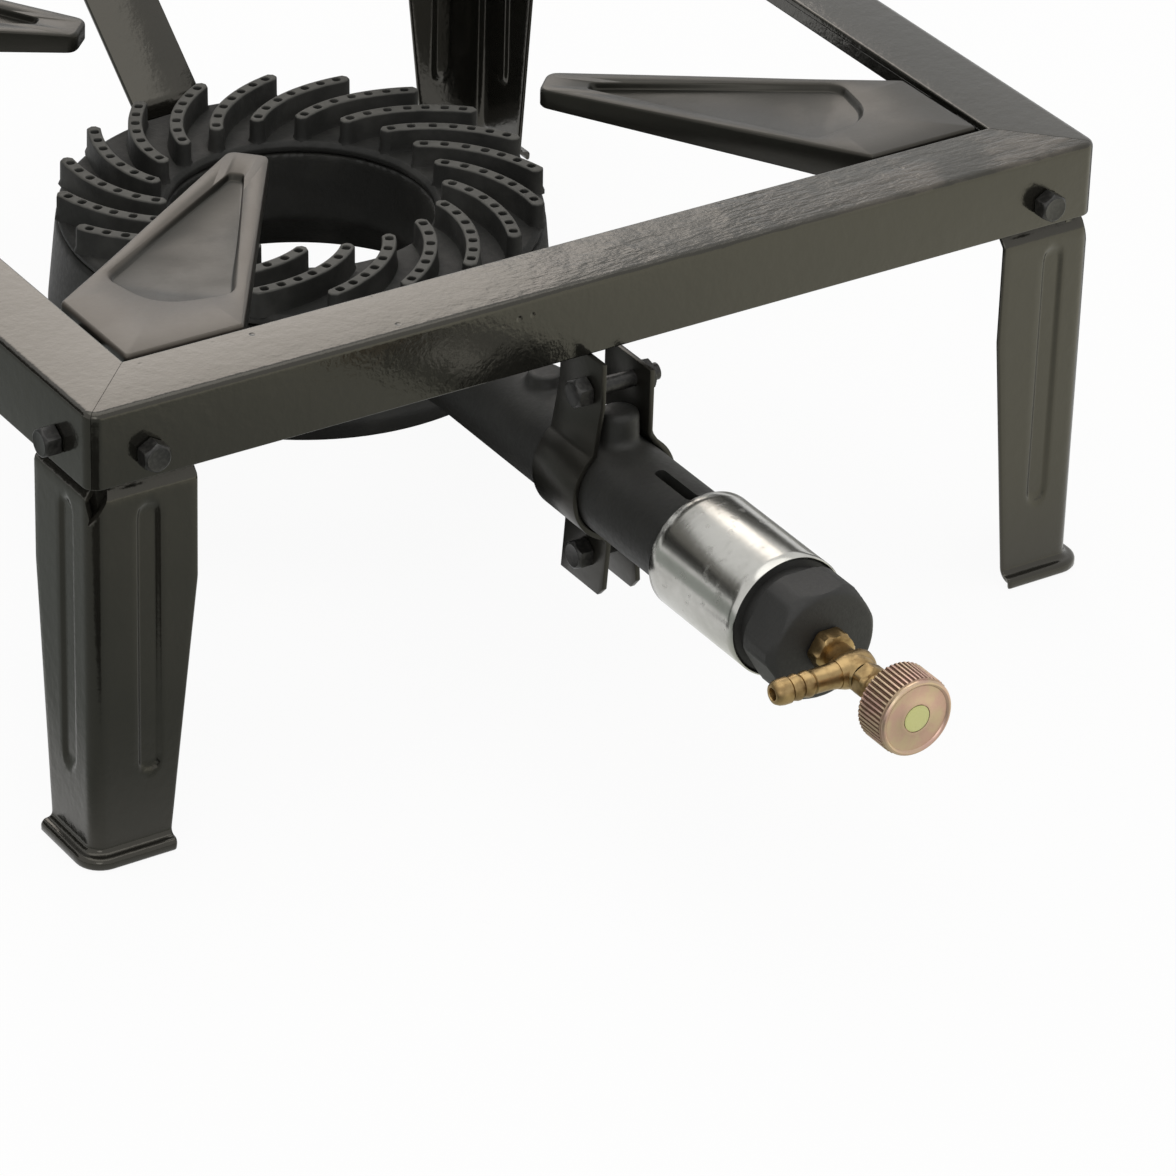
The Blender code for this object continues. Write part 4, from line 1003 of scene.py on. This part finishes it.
def flame_rib(sizes):
    """One rib: a rounded bar whose top is pierced by a row of ports."""
    deck = CROWN_HIGH.z - sizes.rib_high
    half = sizes.rib_width / 2 - 0.75 * MM
    port_radii = [r * MM for r in (54.4, 60.5, 66.4, 71.6, 76.0, 80.4, 84.4)]
    span = sizes.rib_outer - sizes.rib_inner
    holes = [((r - sizes.rib_inner) / span) ** (1 / RIB_CURVE) for r in port_radii]
    bounds = [0.035] + [(a + b) / 2 for a, b in zip(holes, holes[1:])] + [0.975]
    corners = [(1, 1), (-1, 1), (-1, -1), (1, -1)]
    square = []
    for first, second in zip(corners, corners[1:] + corners[:1]):
        square += [first] + between(first, second, PORT_SIDES // 4)[:-1]
    verts, faces = [], []
    top = CROWN_HIGH.z
    sides = {1: [], -1: []}
    ends = {}
    for cell, hole in enumerate(holes):
        low, high = bounds[cell], bounds[cell + 1]
        rim = []
        for u, v in square:
            share = low + (high - low) * (u + 1) / 2
            bow = 0.0
            if cell == 0 and u == -1:
                bow = -half * (1 - v * v) * 0.7
            if cell == len(holes) - 1 and u == 1:
                bow = half * (1 - v * v) * 0.7
            rim.append((share, v * half, bow))
        start = len(verts)
        verts += [Vector((*rib_spot(*spot, sizes), top)) for spot in rim]
        middle = rib_spot(hole, 0, 0, sizes)
        way = rib_spot(hole, 0, 1, sizes) - middle
        across = Vector((-way.y, way.x))
        port = sizes.port
        for radius, z in ((port * 1.12, top), (port, top - 0.3 * MM), (port, top - 4.5 * MM)):
            for k in range(PORT_SIDES):
                a = math.radians(45 + 30 * k)
                square_reach = radius * (1 + 0.15 * math.sin(2 * a) ** 2)
                spot = middle + (way * math.cos(a) + across * math.sin(a)) * square_reach
                verts.append(Vector((spot.x, spot.y, z)))
        for row in range(3):
            upper = start + row * PORT_SIDES
            lower = upper + PORT_SIDES
            for k in range(PORT_SIDES):
                n = (k + 1) % PORT_SIDES
                faces.append((upper + k, upper + n, lower + n, lower + k))
        faces.append(tuple(lower + k for k in range(PORT_SIDES)))
        for k, (u, v) in enumerate(square):
            if abs(v) == 1:
                sides[int(v)].append((rim[k][0], start + k))
            if (cell == 0 and u == -1) or (cell == len(holes) - 1 and u == 1):
                ends.setdefault(int(u), []).append((v, start + k))
    border = [i for _, i in sorted(sides[-1])]
    border += [i for v, i in sorted(ends[1]) if abs(v) < 1]
    border += [i for _, i in sorted(sides[1], reverse=True)]
    border += [i for v, i in sorted(ends[-1], reverse=True) if abs(v) < 1]
    border = drop_doubles(border, verts)
    loops = [border]
    count = len(border)
    for grow, z in ((0.3, top - 0.08 * MM), (0.6, top - 0.35 * MM), (0.75, top - 0.9 * MM),
                    (0.85, deck + 1.2 * MM), (1.3, deck + 0.2 * MM), (1.6, deck - 0.6 * MM)):
        loop = []
        for k, i in enumerate(border):
            before, after = verts[border[k - 1]], verts[border[(k + 1) % count]]
            way = (after - before).normalized()
            here = verts[i]
            loop.append(len(verts))
            verts.append(Vector((here.x + way.y * grow * MM, here.y - way.x * grow * MM, z)))
        loops.append(loop)
    for first, second in zip(loops, loops[1:]):
        for k in range(count):
            n = (k + 1) % count
            faces.append((first[k], first[n], second[n], second[k]))
    faces.append(tuple(loops[-1]))
    return verts, faces


def drop_doubles(indices, verts):
    """A closed run of points without those that repeat the one before."""
    kept = []
    for i in indices:
        if not kept or (verts[i] - verts[kept[-1]]).length > 1e-6:
            kept.append(i)
    if (verts[kept[0]] - verts[kept[-1]]).length < 1e-6:
        kept.pop()
    return kept


def crown_deck(sizes):
    """Flat ring that carries the ribs."""
    deck = CROWN_HIGH.z - sizes.rib_high
    profile = fillet([(48.5 * MM, CROWN_LOW.z), (87.5 * MM, CROWN_LOW.z), (88.3 * MM, deck - 1.2 * MM),
                      (86.2 * MM, deck), (50.2 * MM, deck), (48.5 * MM, deck - 1.6 * MM)], 1.2 * MM, 3)
    return turned([tuple(p) for p in profile], along_ring, RING_STEPS, True)


def bowl_profile():
    """Section of the gas channel: flared skirt, rounded belly and an upright inner wall."""
    belly, inner = 92 * MM, 48 * MM
    top = CROWN_LOW.z - 0.3 * MM
    points = [(belly - 9 * MM, BOWL_LOW), (belly, BOWL_LOW + 13 * MM), (88.6 * MM, top), (84.6 * MM, top),
              (belly - 4.2 * MM, BOWL_LOW + 14 * MM), (belly - 11 * MM, BOWL_LOW + 5 * MM),
              (belly - 22 * MM, BOWL_LOW + 5 * MM), (inner + 4.5 * MM, 78 * MM), (inner + 4 * MM, top),
              (inner, top), (inner - 0.5 * MM, 74 * MM), (belly - 22 * MM, BOWL_LOW)]
    radii = [8, 9, 0.8, 0.8, 9, 4, 4, 3, 0.8, 0.8, 4, 8]
    return [tuple(p) for p in fillet(points, [r * MM for r in radii], 5)]


def mixer_tube(sizes):
    """Tube out of the bowl: swollen root, straight run, wider mouth and a blind bore."""
    start, end = tube_span("air_sleeve")
    profile = [(22.5 * MM, 78 * MM), (22.5 * MM, 88 * MM), (20.0 * MM, 97 * MM), (18.4 * MM, 106 * MM),
               (sizes.tube, 116 * MM), (sizes.tube, start - 6 * MM), (sizes.mouth, start + 1 * MM),
               (sizes.mouth, end - 3 * MM), (13.5 * MM, end - 3 * MM), (13.5 * MM, 132 * MM)]
    return turned(profile, along_tube, 96)


def burner_body(sizes):
    """Bowl, tube, bosses and lug run together into one casting with soft fillets."""
    boss_tops = {211 * MM: 121.2 * MM, 165 * MM: 114 * MM}
    shapes = [turned(bowl_profile(), along_ring, RING_STEPS, True), mixer_tube(sizes)]
    for reach, top in boss_tops.items():
        rows = [(7.6 * MM, AXIS_Z), (6.7 * MM, top - 1.5 * MM), (6.3 * MM, top - 0.4 * MM), (5.4 * MM, top)]
        shapes.append(move(turned(rows, upright, 32), Matrix.Translation((0, RING_Y - reach, 0))))
    lug, lug_start, lug_end = 14 * MM, RING_Y + 84 * MM, RING_Y + 96.7 * MM
    shapes.append(box_shape((-lug, lug_start, 78 * MM), (lug, lug_end, 99 * MM)))
    body = add_object("burner_casting", close_mesh(*merge(*shapes)))
    remesh = body.modifiers.new("cast", "REMESH")
    remesh.mode = "VOXEL"
    remesh.voxel_size = 1.25 * MM
    relax = body.modifiers.new("relax", "SMOOTH")
    relax.factor = 0.5
    relax.iterations = 3
    bake_modifiers(body)
    start, end, left, right = 237 * MM, 292 * MM, -3.4 * MM, 0.8 * MM
    slot = fillet([(left, -end), (right, -end), (right, -start), (left, -start)], [0, 0, 2 * MM, 2 * MM], 5)
    rows = [[Vector((p.x, RING_Y + p.y, z)) for p in slot] for z in (AXIS_Z + 6 * MM, AXIS_Z + 30 * MM)]
    cut_away(body, loft(rows))
    seat = 89.5 * MM
    room = [(seat, CROWN_LOW.z - 0.2 * MM), (seat, CROWN_HIGH.z + 12 * MM)]
    cut_away(body, turned(room, along_ring, RING_STEPS))
    return body


class STAND_OT_burner(bpy.types.Operator):
    """Casts the burner: ribbed crown, gas channel and mixer tube"""

    bl_idname = "stand.burner"
    bl_label = "Burner"

    def execute(self, context):
        sizes = context.scene.stand_sizes
        rib = flame_rib(sizes)
        shapes = [crown_deck(sizes)]
        centre = Matrix.Translation((0, RING_Y, 0))
        for k in range(sizes.rib_count):
            angle = -2 * math.pi * k / sizes.rib_count
            shapes.append(move(rib, centre @ Matrix.Rotation(angle, 4, "Z")))
        add_piece("ribbed_crown", merge(*shapes), "rubbed_iron", "stand", "burner_crown", 50)
        dress(burner_body(sizes), "sand_cast_iron", "stand", "burner_bowl", 40)
        return {"FINISHED"}


def ribbon(line, thick, low, high, place):
    """Bent strip along a 2-D line, thickened evenly, from low to high across."""
    sharpest = 0.3
    points = [Vector(p) for p in line]
    count = len(points)
    left, right = [], []
    for i, point in enumerate(points):
        pairs = [(a, a + 1) for a in (i - 1, i) if a >= 0 and a + 1 < count]
        ways = [(points[b] - points[a]).normalized() for a, b in pairs]
        normals = [Vector((-way.y, way.x)) for way in ways]
        mean = sum(normals, Vector((0, 0))).normalized()
        push = mean * (thick / 2 / max(sharpest, mean.dot(normals[0])))
        left.append(point + push)
        right.append(point - push)
    outline = left + list(reversed(right))
    return loft([[place(p, across) for p in outline] for across in (low, high)])


def clamp_line(side, top, sizes):
    """Cheek, band round the tube and ear of one clamp half, seen along the tube."""
    half = sizes.clamp_sheet / 2
    radius = sizes.tube + 0.3 * MM + half
    cheek, ear, spread = 8 * MM + half, 4 * MM + half, 1.4 * MM
    fold_high, ear_end = AXIS_Z + 33 * MM, 51 * MM
    end = -math.acos(ear / radius)
    if side < 0:
        line = [(cheek, top), (cheek, fold_high)]
        first = math.acos((cheek + 3 * MM) / radius)
    else:
        start = math.acos(cheek / radius)
        touch = AXIS_Z + radius * math.sin(start)
        line = [(cheek, top), (cheek, touch + 3.2 * MM), (cheek + 0.6 * MM, touch + 1.4 * MM)]
        first = start - 0.16
    last = end + 0.12
    angles = [first + (last - first) * k / 24 for k in range(25)]
    line += [(radius * math.cos(a), AXIS_Z + radius * math.sin(a)) for a in angles]
    under = AXIS_Z + radius * math.sin(end)
    line += [(ear + 0.4 * MM, under - 1.0 * MM), (ear, under - 2.6 * MM), (ear + spread, ear_end)]
    return [(side * x, z) for x, z in line]


class STAND_OT_clamp(bpy.types.Operator):
    """Bends the tube clamp's halves and the rear strap"""

    bl_idname = "stand.clamp"
    bl_label = "Clamp and strap"

    def execute(self, context):
        sizes = context.scene.stand_sizes
        for name, side in (("clamp_hanger", -1), ("clamp_half", 1)):
            low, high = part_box(name)
            line = clamp_line(side, high.z, sizes)
            shape = ribbon(line, sizes.clamp_sheet, low.y, high.y, lambda p, y: Vector((p.x, y, p.y)))
            piece = add_object(f"bent_{name}", close_mesh(*shape))
            if name == "clamp_hanger":
                room = box_shape((-30 * MM, low.y - 10 * MM, LOW - 0.3 * MM),
                                 (5 * MM, FRONT + sizes.angle_thick + 0.3 * MM, TOP))
                cut_away(piece, room)
            self.trim_ear(piece, low, side)
            soften(piece, 0.35 * MM)
            dress(piece, "support_enamel", "stand", name)
        self.strap()
        return {"FINISHED"}

    @staticmethod
    def trim_ear(piece, low, side):
        """Clips the front lower corner of an ear, a little more on the right."""
        front, foot = low.y, low.z + (1 * MM if side > 0 else 0.0)
        ahead, under = front - 5 * MM, foot - 5 * MM
        clip = [(ahead, under), (front + 7 * MM, under), (ahead, foot + 9 * MM)]
        rows = [[Vector((x, y, z)) for y, z in clip] for x in (-20 * MM, 20 * MM)]
        cut_away(piece, loft(rows))

    @staticmethod
    def strap():
        """Strap that rises from the burner's lug and lies flat under the back bar."""
        low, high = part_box("rear_strap")
        thick = 2.5 * MM
        foot = low.y + thick / 2
        flat = high.z - thick / 2
        bend, slope = 103 * MM, math.radians(39)
        rise_end = foot + (flat - bend) / math.tan(slope)
        corners = [(foot, low.z), (foot, bend), (rise_end, flat), (high.y, flat)]
        line = fillet(corners, 6 * MM, 6, closed=False)
        shape = ribbon(line, thick, low.x, high.x, lambda p, x: Vector((x, p.x, p.y)))
        piece = add_object("bent_strap", close_mesh(*shape))
        soften(piece, 0.4 * MM)
        dress(piece, "enamel", "stand", "rear_strap")


class STAND_OT_sleeve(bpy.types.Operator):
    """Rolls the zinc-plated air sleeve"""

    bl_idname = "stand.sleeve"
    bl_label = "Air sleeve"

    def execute(self, context):
        low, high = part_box("air_sleeve")
        start, end = tube_span("air_sleeve")
        outer = (high.z - low.z) / 2
        inner = outer - 0.8 * MM
        profile = [(inner, start + 0.3 * MM), (inner + 0.3 * MM, start), (outer - 0.3 * MM, start),
                   (outer, start + 0.4 * MM)]
        profile += between((outer, start), (outer, end), 12)[:-1]
        profile += [(outer, end - 0.4 * MM), (outer - 0.3 * MM, end), (inner + 0.3 * MM, end),
                    (inner, end - 0.3 * MM)]
        shape = turned(profile, along_tube, 128, True)
        add_piece("rolled_sleeve", shape, "zinc", "sleeve", "air_sleeve", 45)
        return {"FINISHED"}


class STAND_OT_cap(bpy.types.Operator):
    """Casts the hexagonal nozzle cap and finishes the injector"""

    bl_idname = "stand.cap"
    bl_label = "Nozzle cap"

    def execute(self, context):
        start, end = tube_span("nozzle_cap")
        flange = start + 16 * MM
        flats, corner = 39 * MM, 21.2 * MM
        bore, spigot, rim = 3.2 * MM, 13.2 * MM, 20.8 * MM
        neck, hex_start = 18.3 * MM, flange + 7.5 * MM
        rows = [(bore, start), (spigot, start), (spigot, flange), (rim - 0.4 * MM, flange),
                (rim, flange + 0.5 * MM), (rim, flange + 1.6 * MM), (rim - 0.4 * MM, flange + 2 * MM),
                (neck, flange + 2.4 * MM), (neck, hex_start + 2 * MM)]
        plain = turned(rows, along_tube, 144)
        face = flats / 2 - 1.6 * MM
        rows = [(neck - 0.4 * MM, hex_start), (corner - 0.8 * MM, hex_start), (corner, hex_start + 0.8 * MM),
                (corner, end - 3.4 * MM)]
        rows += [(corner + (face - corner) * k / 8, end - 3.4 * MM + 3.2 * MM * math.sin(math.pi / 2 * k / 8))
                 for k in range(1, 9)]
        rows += [(face - 0.6 * MM, end), (bore + 0.5 * MM, end), (bore, end - 0.5 * MM), (bore, hex_start)]
        outline = hexagon(flats, corner / (flats / 2), turn=TWELFTH_TURN, least=bore + 1 * MM)
        hexed = turned(rows, along_tube, 144, True, outline)
        add_piece("hex_cap", merge(plain, hexed), "grey_casting", "stand", "nozzle_cap", 32)
        coat(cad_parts["injector_jet"].data, "turned_brass")
        return {"FINISHED"}


def barb_profile(start, end):
    """Hose tail: collar, two ridges and a rounded end with its bore."""
    neck, ridge, collar, bore = 3.5 * MM, 4.5 * MM, 4.6 * MM, 2.0 * MM
    shares = [(4.1 * MM, 0.36)]
    for at in (0.38, 0.56):
        shares += [(neck, at), (neck, at + 0.03), (ridge, at + 0.05), (ridge, at + 0.08)]
        shares.append((neck + 0.4 * MM, at + 0.17))
    shares += [(neck, 0.74), (ridge, 0.765), (ridge, 0.86), (4.2 * MM, 0.93), (3.5 * MM, 0.985)]
    lap = 1 * MM
    rows = [(bore, start - lap), (collar, start - lap), (collar, start + lap), (4.3 * MM, start + 1.6 * MM)]
    rows += [(radius, start + (end - start) * share) for radius, share in shares]
    return rows + [(2.9 * MM, end), (2.2 * MM, end), (bore, end - 0.4 * MM)]


class STAND_OT_valve(bpy.types.Operator):
    """Turns the brass needle valve: body, hose tail and gland"""

    bl_idname = "stand.valve"
    bl_label = "Needle valve"

    def execute(self, context):
        start, end = tube_span("valve_body")
        face = start + 7 * MM
        bore = 2.8 * MM
        hexed = turned([(2.9 * MM, start), (2.9 * MM, face), (6.4 * MM, face), (7.7 * MM, face + 0.7 * MM),
                        (7.7 * MM, face + 5.6 * MM), (7.0 * MM, face + 6.3 * MM), (6.0 * MM, face + 6.6 * MM),
                        (2.9 * MM, face + 6.6 * MM)], along_tube, 72, False,
                       hexagon(14 * MM, 1.13, turn=TWELFTH_TURN, least=5 * MM))
        trunk = turned([(2.0 * MM, face + 6 * MM), (5.0 * MM, face + 6 * MM), (5.0 * MM, end - 9 * MM),
                        (5.9 * MM, end - 7.5 * MM), (5.9 * MM, end - 1.0 * MM), (5.2 * MM, end),
                        (bore, end), (bore, end - 12 * MM)], along_tube, 48)
        boss = [(0.3 * MM, -7.4 * MM), (3.0 * MM, -7.0 * MM), (5.0 * MM, -5.6 * MM), (5.9 * MM, -3.6 * MM),
                (6.0 * MM, 3 * MM), (5.6 * MM, 5.2 * MM), (4.9 * MM, 7.2 * MM), (0.3 * MM, 7.4 * MM)]
        tee = turned(boss, along_barb, 48)
        add_piece("valve_forging", merge(hexed, trunk, tee), "turned_brass", "stand", "valve_body", 35)
        low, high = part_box("hose_barb")
        tail = turned(barb_profile(-high.x, -low.x), along_barb, 48, True)
        add_piece("hose_tail", tail, "turned_brass", "stand", "hose_barb", 32)
        start, end = tube_span("gland_nut")
        rows = [(bore, start), (5.0 * MM, start), (6.0 * MM, start + 0.7 * MM), (6.0 * MM, start + 4.4 * MM),
                (5.2 * MM, start + 5.4 * MM), (4.4 * MM, start + 6 * MM), (4.2 * MM, end - 0.6 * MM),
                (3.8 * MM, end), (bore, end)]
        gland = turned(rows, along_tube, 72, True, hexagon(11 * MM, 1.12, least=4.6 * MM))
        add_piece("packing_gland", gland, "turned_brass", "stand", "gland_nut", 32)
        coat(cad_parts["valve_needle"].data, "turned_brass")
        return {"FINISHED"}


class STAND_OT_knob(bpy.types.Operator):
    """Knurls the valve's knob and sets its green disc"""

    bl_idname = "stand.knob"
    bl_label = "Knob"

    def execute(self, context):
        sizes = context.scene.stand_sizes
        start, end = tube_span("valve_knob")
        radius, bore, recess = 14 * MM, 2.8 * MM, 5.0 * MM
        disc_deep = 1.0 * MM
        back = [(bore, start + 6.3 * MM), (bore, start), (6 * MM, start), (12.4 * MM, start + 0.3 * MM)]
        grip = [(13.4 * MM, start + 0.9 * MM), (radius, start + 1.7 * MM), (radius, end - 2.4 * MM)]
        face = [(13.7 * MM, end - 1.9 * MM), (13.4 * MM, end - 1.7 * MM), (13.5 * MM, end - 0.7 * MM),
                (13.0 * MM, end - 0.1 * MM), (12.5 * MM, end), (12.0 * MM, end - 0.2 * MM),
                (11.6 * MM, end - 0.7 * MM), (6.6 * MM, end - 0.7 * MM), (6.2 * MM, end - 0.5 * MM),
                (recess, end - 0.4 * MM), (recess, end - disc_deep)]
        wave = (0, 0.15, 0.85, 1, 0.85, 0.15)
        steps = sizes.knurl_count * len(wave)
        rings = []
        for rows, depth in ((back, 0.0), (grip, sizes.knurl_depth), (face, 0.0)):
            cuts = [depth * share for share in wave]
            for r, s in rows:
                rings.append([along_tube(r - cuts[k % len(wave)], 2 * math.pi * k / steps, s)
                              for k in range(steps)])
        add_piece("knurled_knob", loft(rings), "passivated_zinc", "knob", "valve_knob", 30)
        low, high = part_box("knob_disc")
        r = (high.x - low.x) / 2
        start, end = tube_span("knob_disc")
        rows = [(r, start), (r, end - 0.35 * MM), (r - 0.3 * MM, end - 0.12 * MM), (r * 0.7, end - 0.02 * MM),
                (r * 0.3, end), (0.2 * MM, end)]
        add_piece("green_cap", turned(rows, along_tube, 64), "green_enamel", "knob", "knob_disc", 40)
        return {"FINISHED"}


class STAND_OT_stage(bpy.types.Operator):
    """Sets the floor, studio lights and the camera"""

    bl_idname = "stand.stage"
    bl_label = "Stage"

    def execute(self, context):
        scene = context.scene
        scene.view_settings.view_transform = "Standard"
        self.floor(scene)
        self.surroundings(scene)
        self.softbox("sky_panel", (0.0, 0.1, 2.6), (0, 0.1, 0), 3.0, 24.0, (1.0, 0.985, 0.96))
        self.softbox("back_panel", (0.98, 2.50, 1.80), (0.0, 0.1, 0.15), 1.5, 12.0, (1.0, 0.905, 0.83))
        self.softbox("front_panel", (-1.8, -2.6, 1.6), (0, 0, 0.1), 1.6, 12.0, (1.0, 1.0, 1.0))
        self.cards()
        self.camera(scene)
        return {"FINISHED"}

    @staticmethod
    def seen(w):
        """1 for rays from the camera and for those that metal or glass sends on."""
        rays = [w.node("ShaderNodeLightPath", output=kind)
                for kind in ("Is Camera Ray", "Is Glossy Ray", "Is Transmission Ray")]
        first = w.node("ShaderNodeMath", {"operation": "MAXIMUM"}, {0: rays[0], 1: rays[1]})
        return w.node("ShaderNodeMath", {"operation": "MAXIMUM"}, {0: first, 1: rays[2]})

    def floor(self, scene):
        """Pale floor, lifted towards white where it is seen, with its shadow; in reflections a painted
        reflection, dim or warm.
        """
        reach, level = 14.0, -0.6 * MM
        verts = [(x, y, level) for y in (-reach, reach) for x in (-reach, reach)]
        floor = add_object("studio_floor", close_mesh(verts, [QUAD]))
        base = rgba(scene.stand_finishes.floor)
        material, w, _ = start_finish("pale_floor", Base_Color=base, Roughness=0.9, Specular_IOR_Level=0.1)
        nodes = material.node_tree.nodes
        paint = Wire(material.node_tree, nodes["Principled BSDF"].outputs[0])
        at = w.place()
        x, y = w.split(at, "X"), w.split(at, "Y")
        # Painted reflection: paint and metal see the floor dim grey on the left, and in front of the stand it
        # runs from that grey to a warm glow brighter than white on the right.
        white, dim, warm = (1.0, 1.0, 1.0), (0.36, 0.385, 0.365), (1.5, 1.48, 1.27)
        behind = w.blend(w.spread(x, -0.25, -0.20), dim, white)
        ahead = w.blend(w.spread(x, -0.22, 0.38), dim, warm)
        painted_floor_reflection = w.blend(w.spread(y, FRONT - 0.08, FRONT + 0.04), ahead, behind)
        mirrored = w.node("ShaderNodeLightPath", output="Is Glossy Ray")
        shown = w.blend(mirrored, white, painted_floor_reflection)
        glow = w.node("ShaderNodeEmission", inputs={"Color": shown, "Strength": 1.0})
        mixed = w.node("ShaderNodeMixShader", inputs={0: self.seen(w) * 0.93, 1: paint, 2: glow})
        material.node_tree.links.new(mixed.socket, nodes["Material Output"].inputs["Surface"])
        floor.data.materials.append(material)
        floor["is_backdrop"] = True

    def cards(self):
        """Painted reflections: cards flat over the floor, the shade cards a painted shadow under the stand,
        and one dark screen behind on the left for the sleeve's stripe.
        """
        flat = (("painted_black_reflection_card", (-0.50, -0.21), (FRONT - 0.36, FRONT - 0.10), 0.8 * MM, 0.02),
                ("shade_card", (-0.14, 0.19), (FRONT + 0.09, BACK - 0.02), 0.6 * MM, 0.04),
                ("left_shade_card", (-0.195, -0.145), (FRONT + 0.004, FRONT + 0.062), 0.6 * MM, 0.04),
                ("painted_grey_reflection_card", (0.21, 0.8), (-0.05, 0.6), 0.4 * MM, 0.25))
        for name, across, along, high, shade in flat:
            self.card(name, [(x, y, high) for y in along for x in across], (shade, shade, shade * 0.94))
        upright_corners = [(x, 0.9, z) for z in (0.24, 0.84) for x in (-1.7, -0.5)]
        self.card("painted_dark_reflection_screen", upright_corners, (0.03, 0.03, 0.028))

    @staticmethod
    def card(name, corners, shade):
        """Dull card that is seen in reflections alone, a painted dark or grey reflection."""
        card = add_object(name, close_mesh(corners, [QUAD]))
        material, _, _ = start_finish(name, Base_Color=rgba(shade), Roughness=1.0, Specular_IOR_Level=0.0)
        card.data.materials.append(material)
        for rays in ("camera", "diffuse", "shadow", "transmission"):
            setattr(card, f"visible_{rays}", False)
        card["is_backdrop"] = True

    def surroundings(self, scene):
        """Even white sky, at full strength only where it is seen."""
        world = bpy.data.worlds.new("studio")
        scene.world = world
        world.use_nodes = True
        background = world.node_tree.nodes["Background"]
        background.inputs["Color"].default_value = (1.0, 1.0, 1.0, 1.0)
        strength = 0.55 + self.seen(Wiring(world.node_tree)) * 0.45
        world.node_tree.links.new(strength.socket, background.inputs["Strength"])

    @staticmethod
    def softbox(name, place, aim, size, power, shade):
        """Round soft lamp at a place, pointed at an aim."""
        light = bpy.data.lights.new(name, "AREA")
        light.shape = "DISK"
        light.size = size
        light.energy = power
        light.color = shade
        lamp = bpy.data.objects.new(name, light)
        lamp.location = place
        lamp.rotation_euler = (Vector(aim) - Vector(place)).to_track_quat("-Z", "Y").to_euler()
        bpy.context.scene.collection.objects.link(lamp)

    @staticmethod
    def camera(scene):
        """Camera at the photograph's place, with the turn that was fitted to the frame's corners."""
        lens = bpy.data.cameras.new("photo_view")
        lens.lens = 197.8
        lens.sensor_width = 36.0
        lens.clip_end = 60.0
        camera = bpy.data.objects.new("photo_view", lens)
        turn = Matrix(((0.84158, 0.25291, -0.47726),
                       (-0.53942, 0.43894, -0.71858),
                       (0.02775, 0.86218, 0.50583)))
        camera.rotation_mode = "QUATERNION"
        camera.rotation_quaternion = turn.to_quaternion()
        camera.location = (-1.06105, FRAME_Y - 1.78658, 1.16763)
        scene.collection.objects.link(camera)
        scene.camera = camera


OPERATORS = (STAND_OT_frame, STAND_OT_legs, STAND_OT_fasteners, STAND_OT_supports, STAND_OT_burner,
             STAND_OT_clamp, STAND_OT_sleeve, STAND_OT_cap, STAND_OT_valve, STAND_OT_knob, STAND_OT_stage)


class STAND_PT_pieces(bpy.types.Panel):
    """Lists the stand's pieces"""

    bl_idname = "STAND_PT_pieces"
    bl_label = "Burner stand"
    bl_space_type = "VIEW_3D"
    bl_region_type = "UI"
    bl_category = "Burner stand"

    def draw(self, context):
        for operator in OPERATORS:
            self.layout.operator(operator.bl_idname)


CLASSES = (StandSizes, StandFinishes, *OPERATORS, STAND_PT_pieces)


def register():
    for cls in CLASSES:
        bpy.utils.register_class(cls)
    bpy.types.Scene.stand_sizes = PointerProperty(type=StandSizes)
    bpy.types.Scene.stand_finishes = PointerProperty(type=StandFinishes)


def unregister():
    del bpy.types.Scene.stand_finishes
    del bpy.types.Scene.stand_sizes
    for cls in reversed(CLASSES):
        bpy.utils.unregister_class(cls)


def main():
    register()
    for operator in OPERATORS:
        group, name = operator.bl_idname.split(".")
        getattr(getattr(bpy.ops, group), name)()
    boxes = {"cad": CAD_BOX, "visual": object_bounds()}
    {key: [list(corner) for corner in box] for key, box in boxes.items()}


if __name__ == "__main__":
    main()
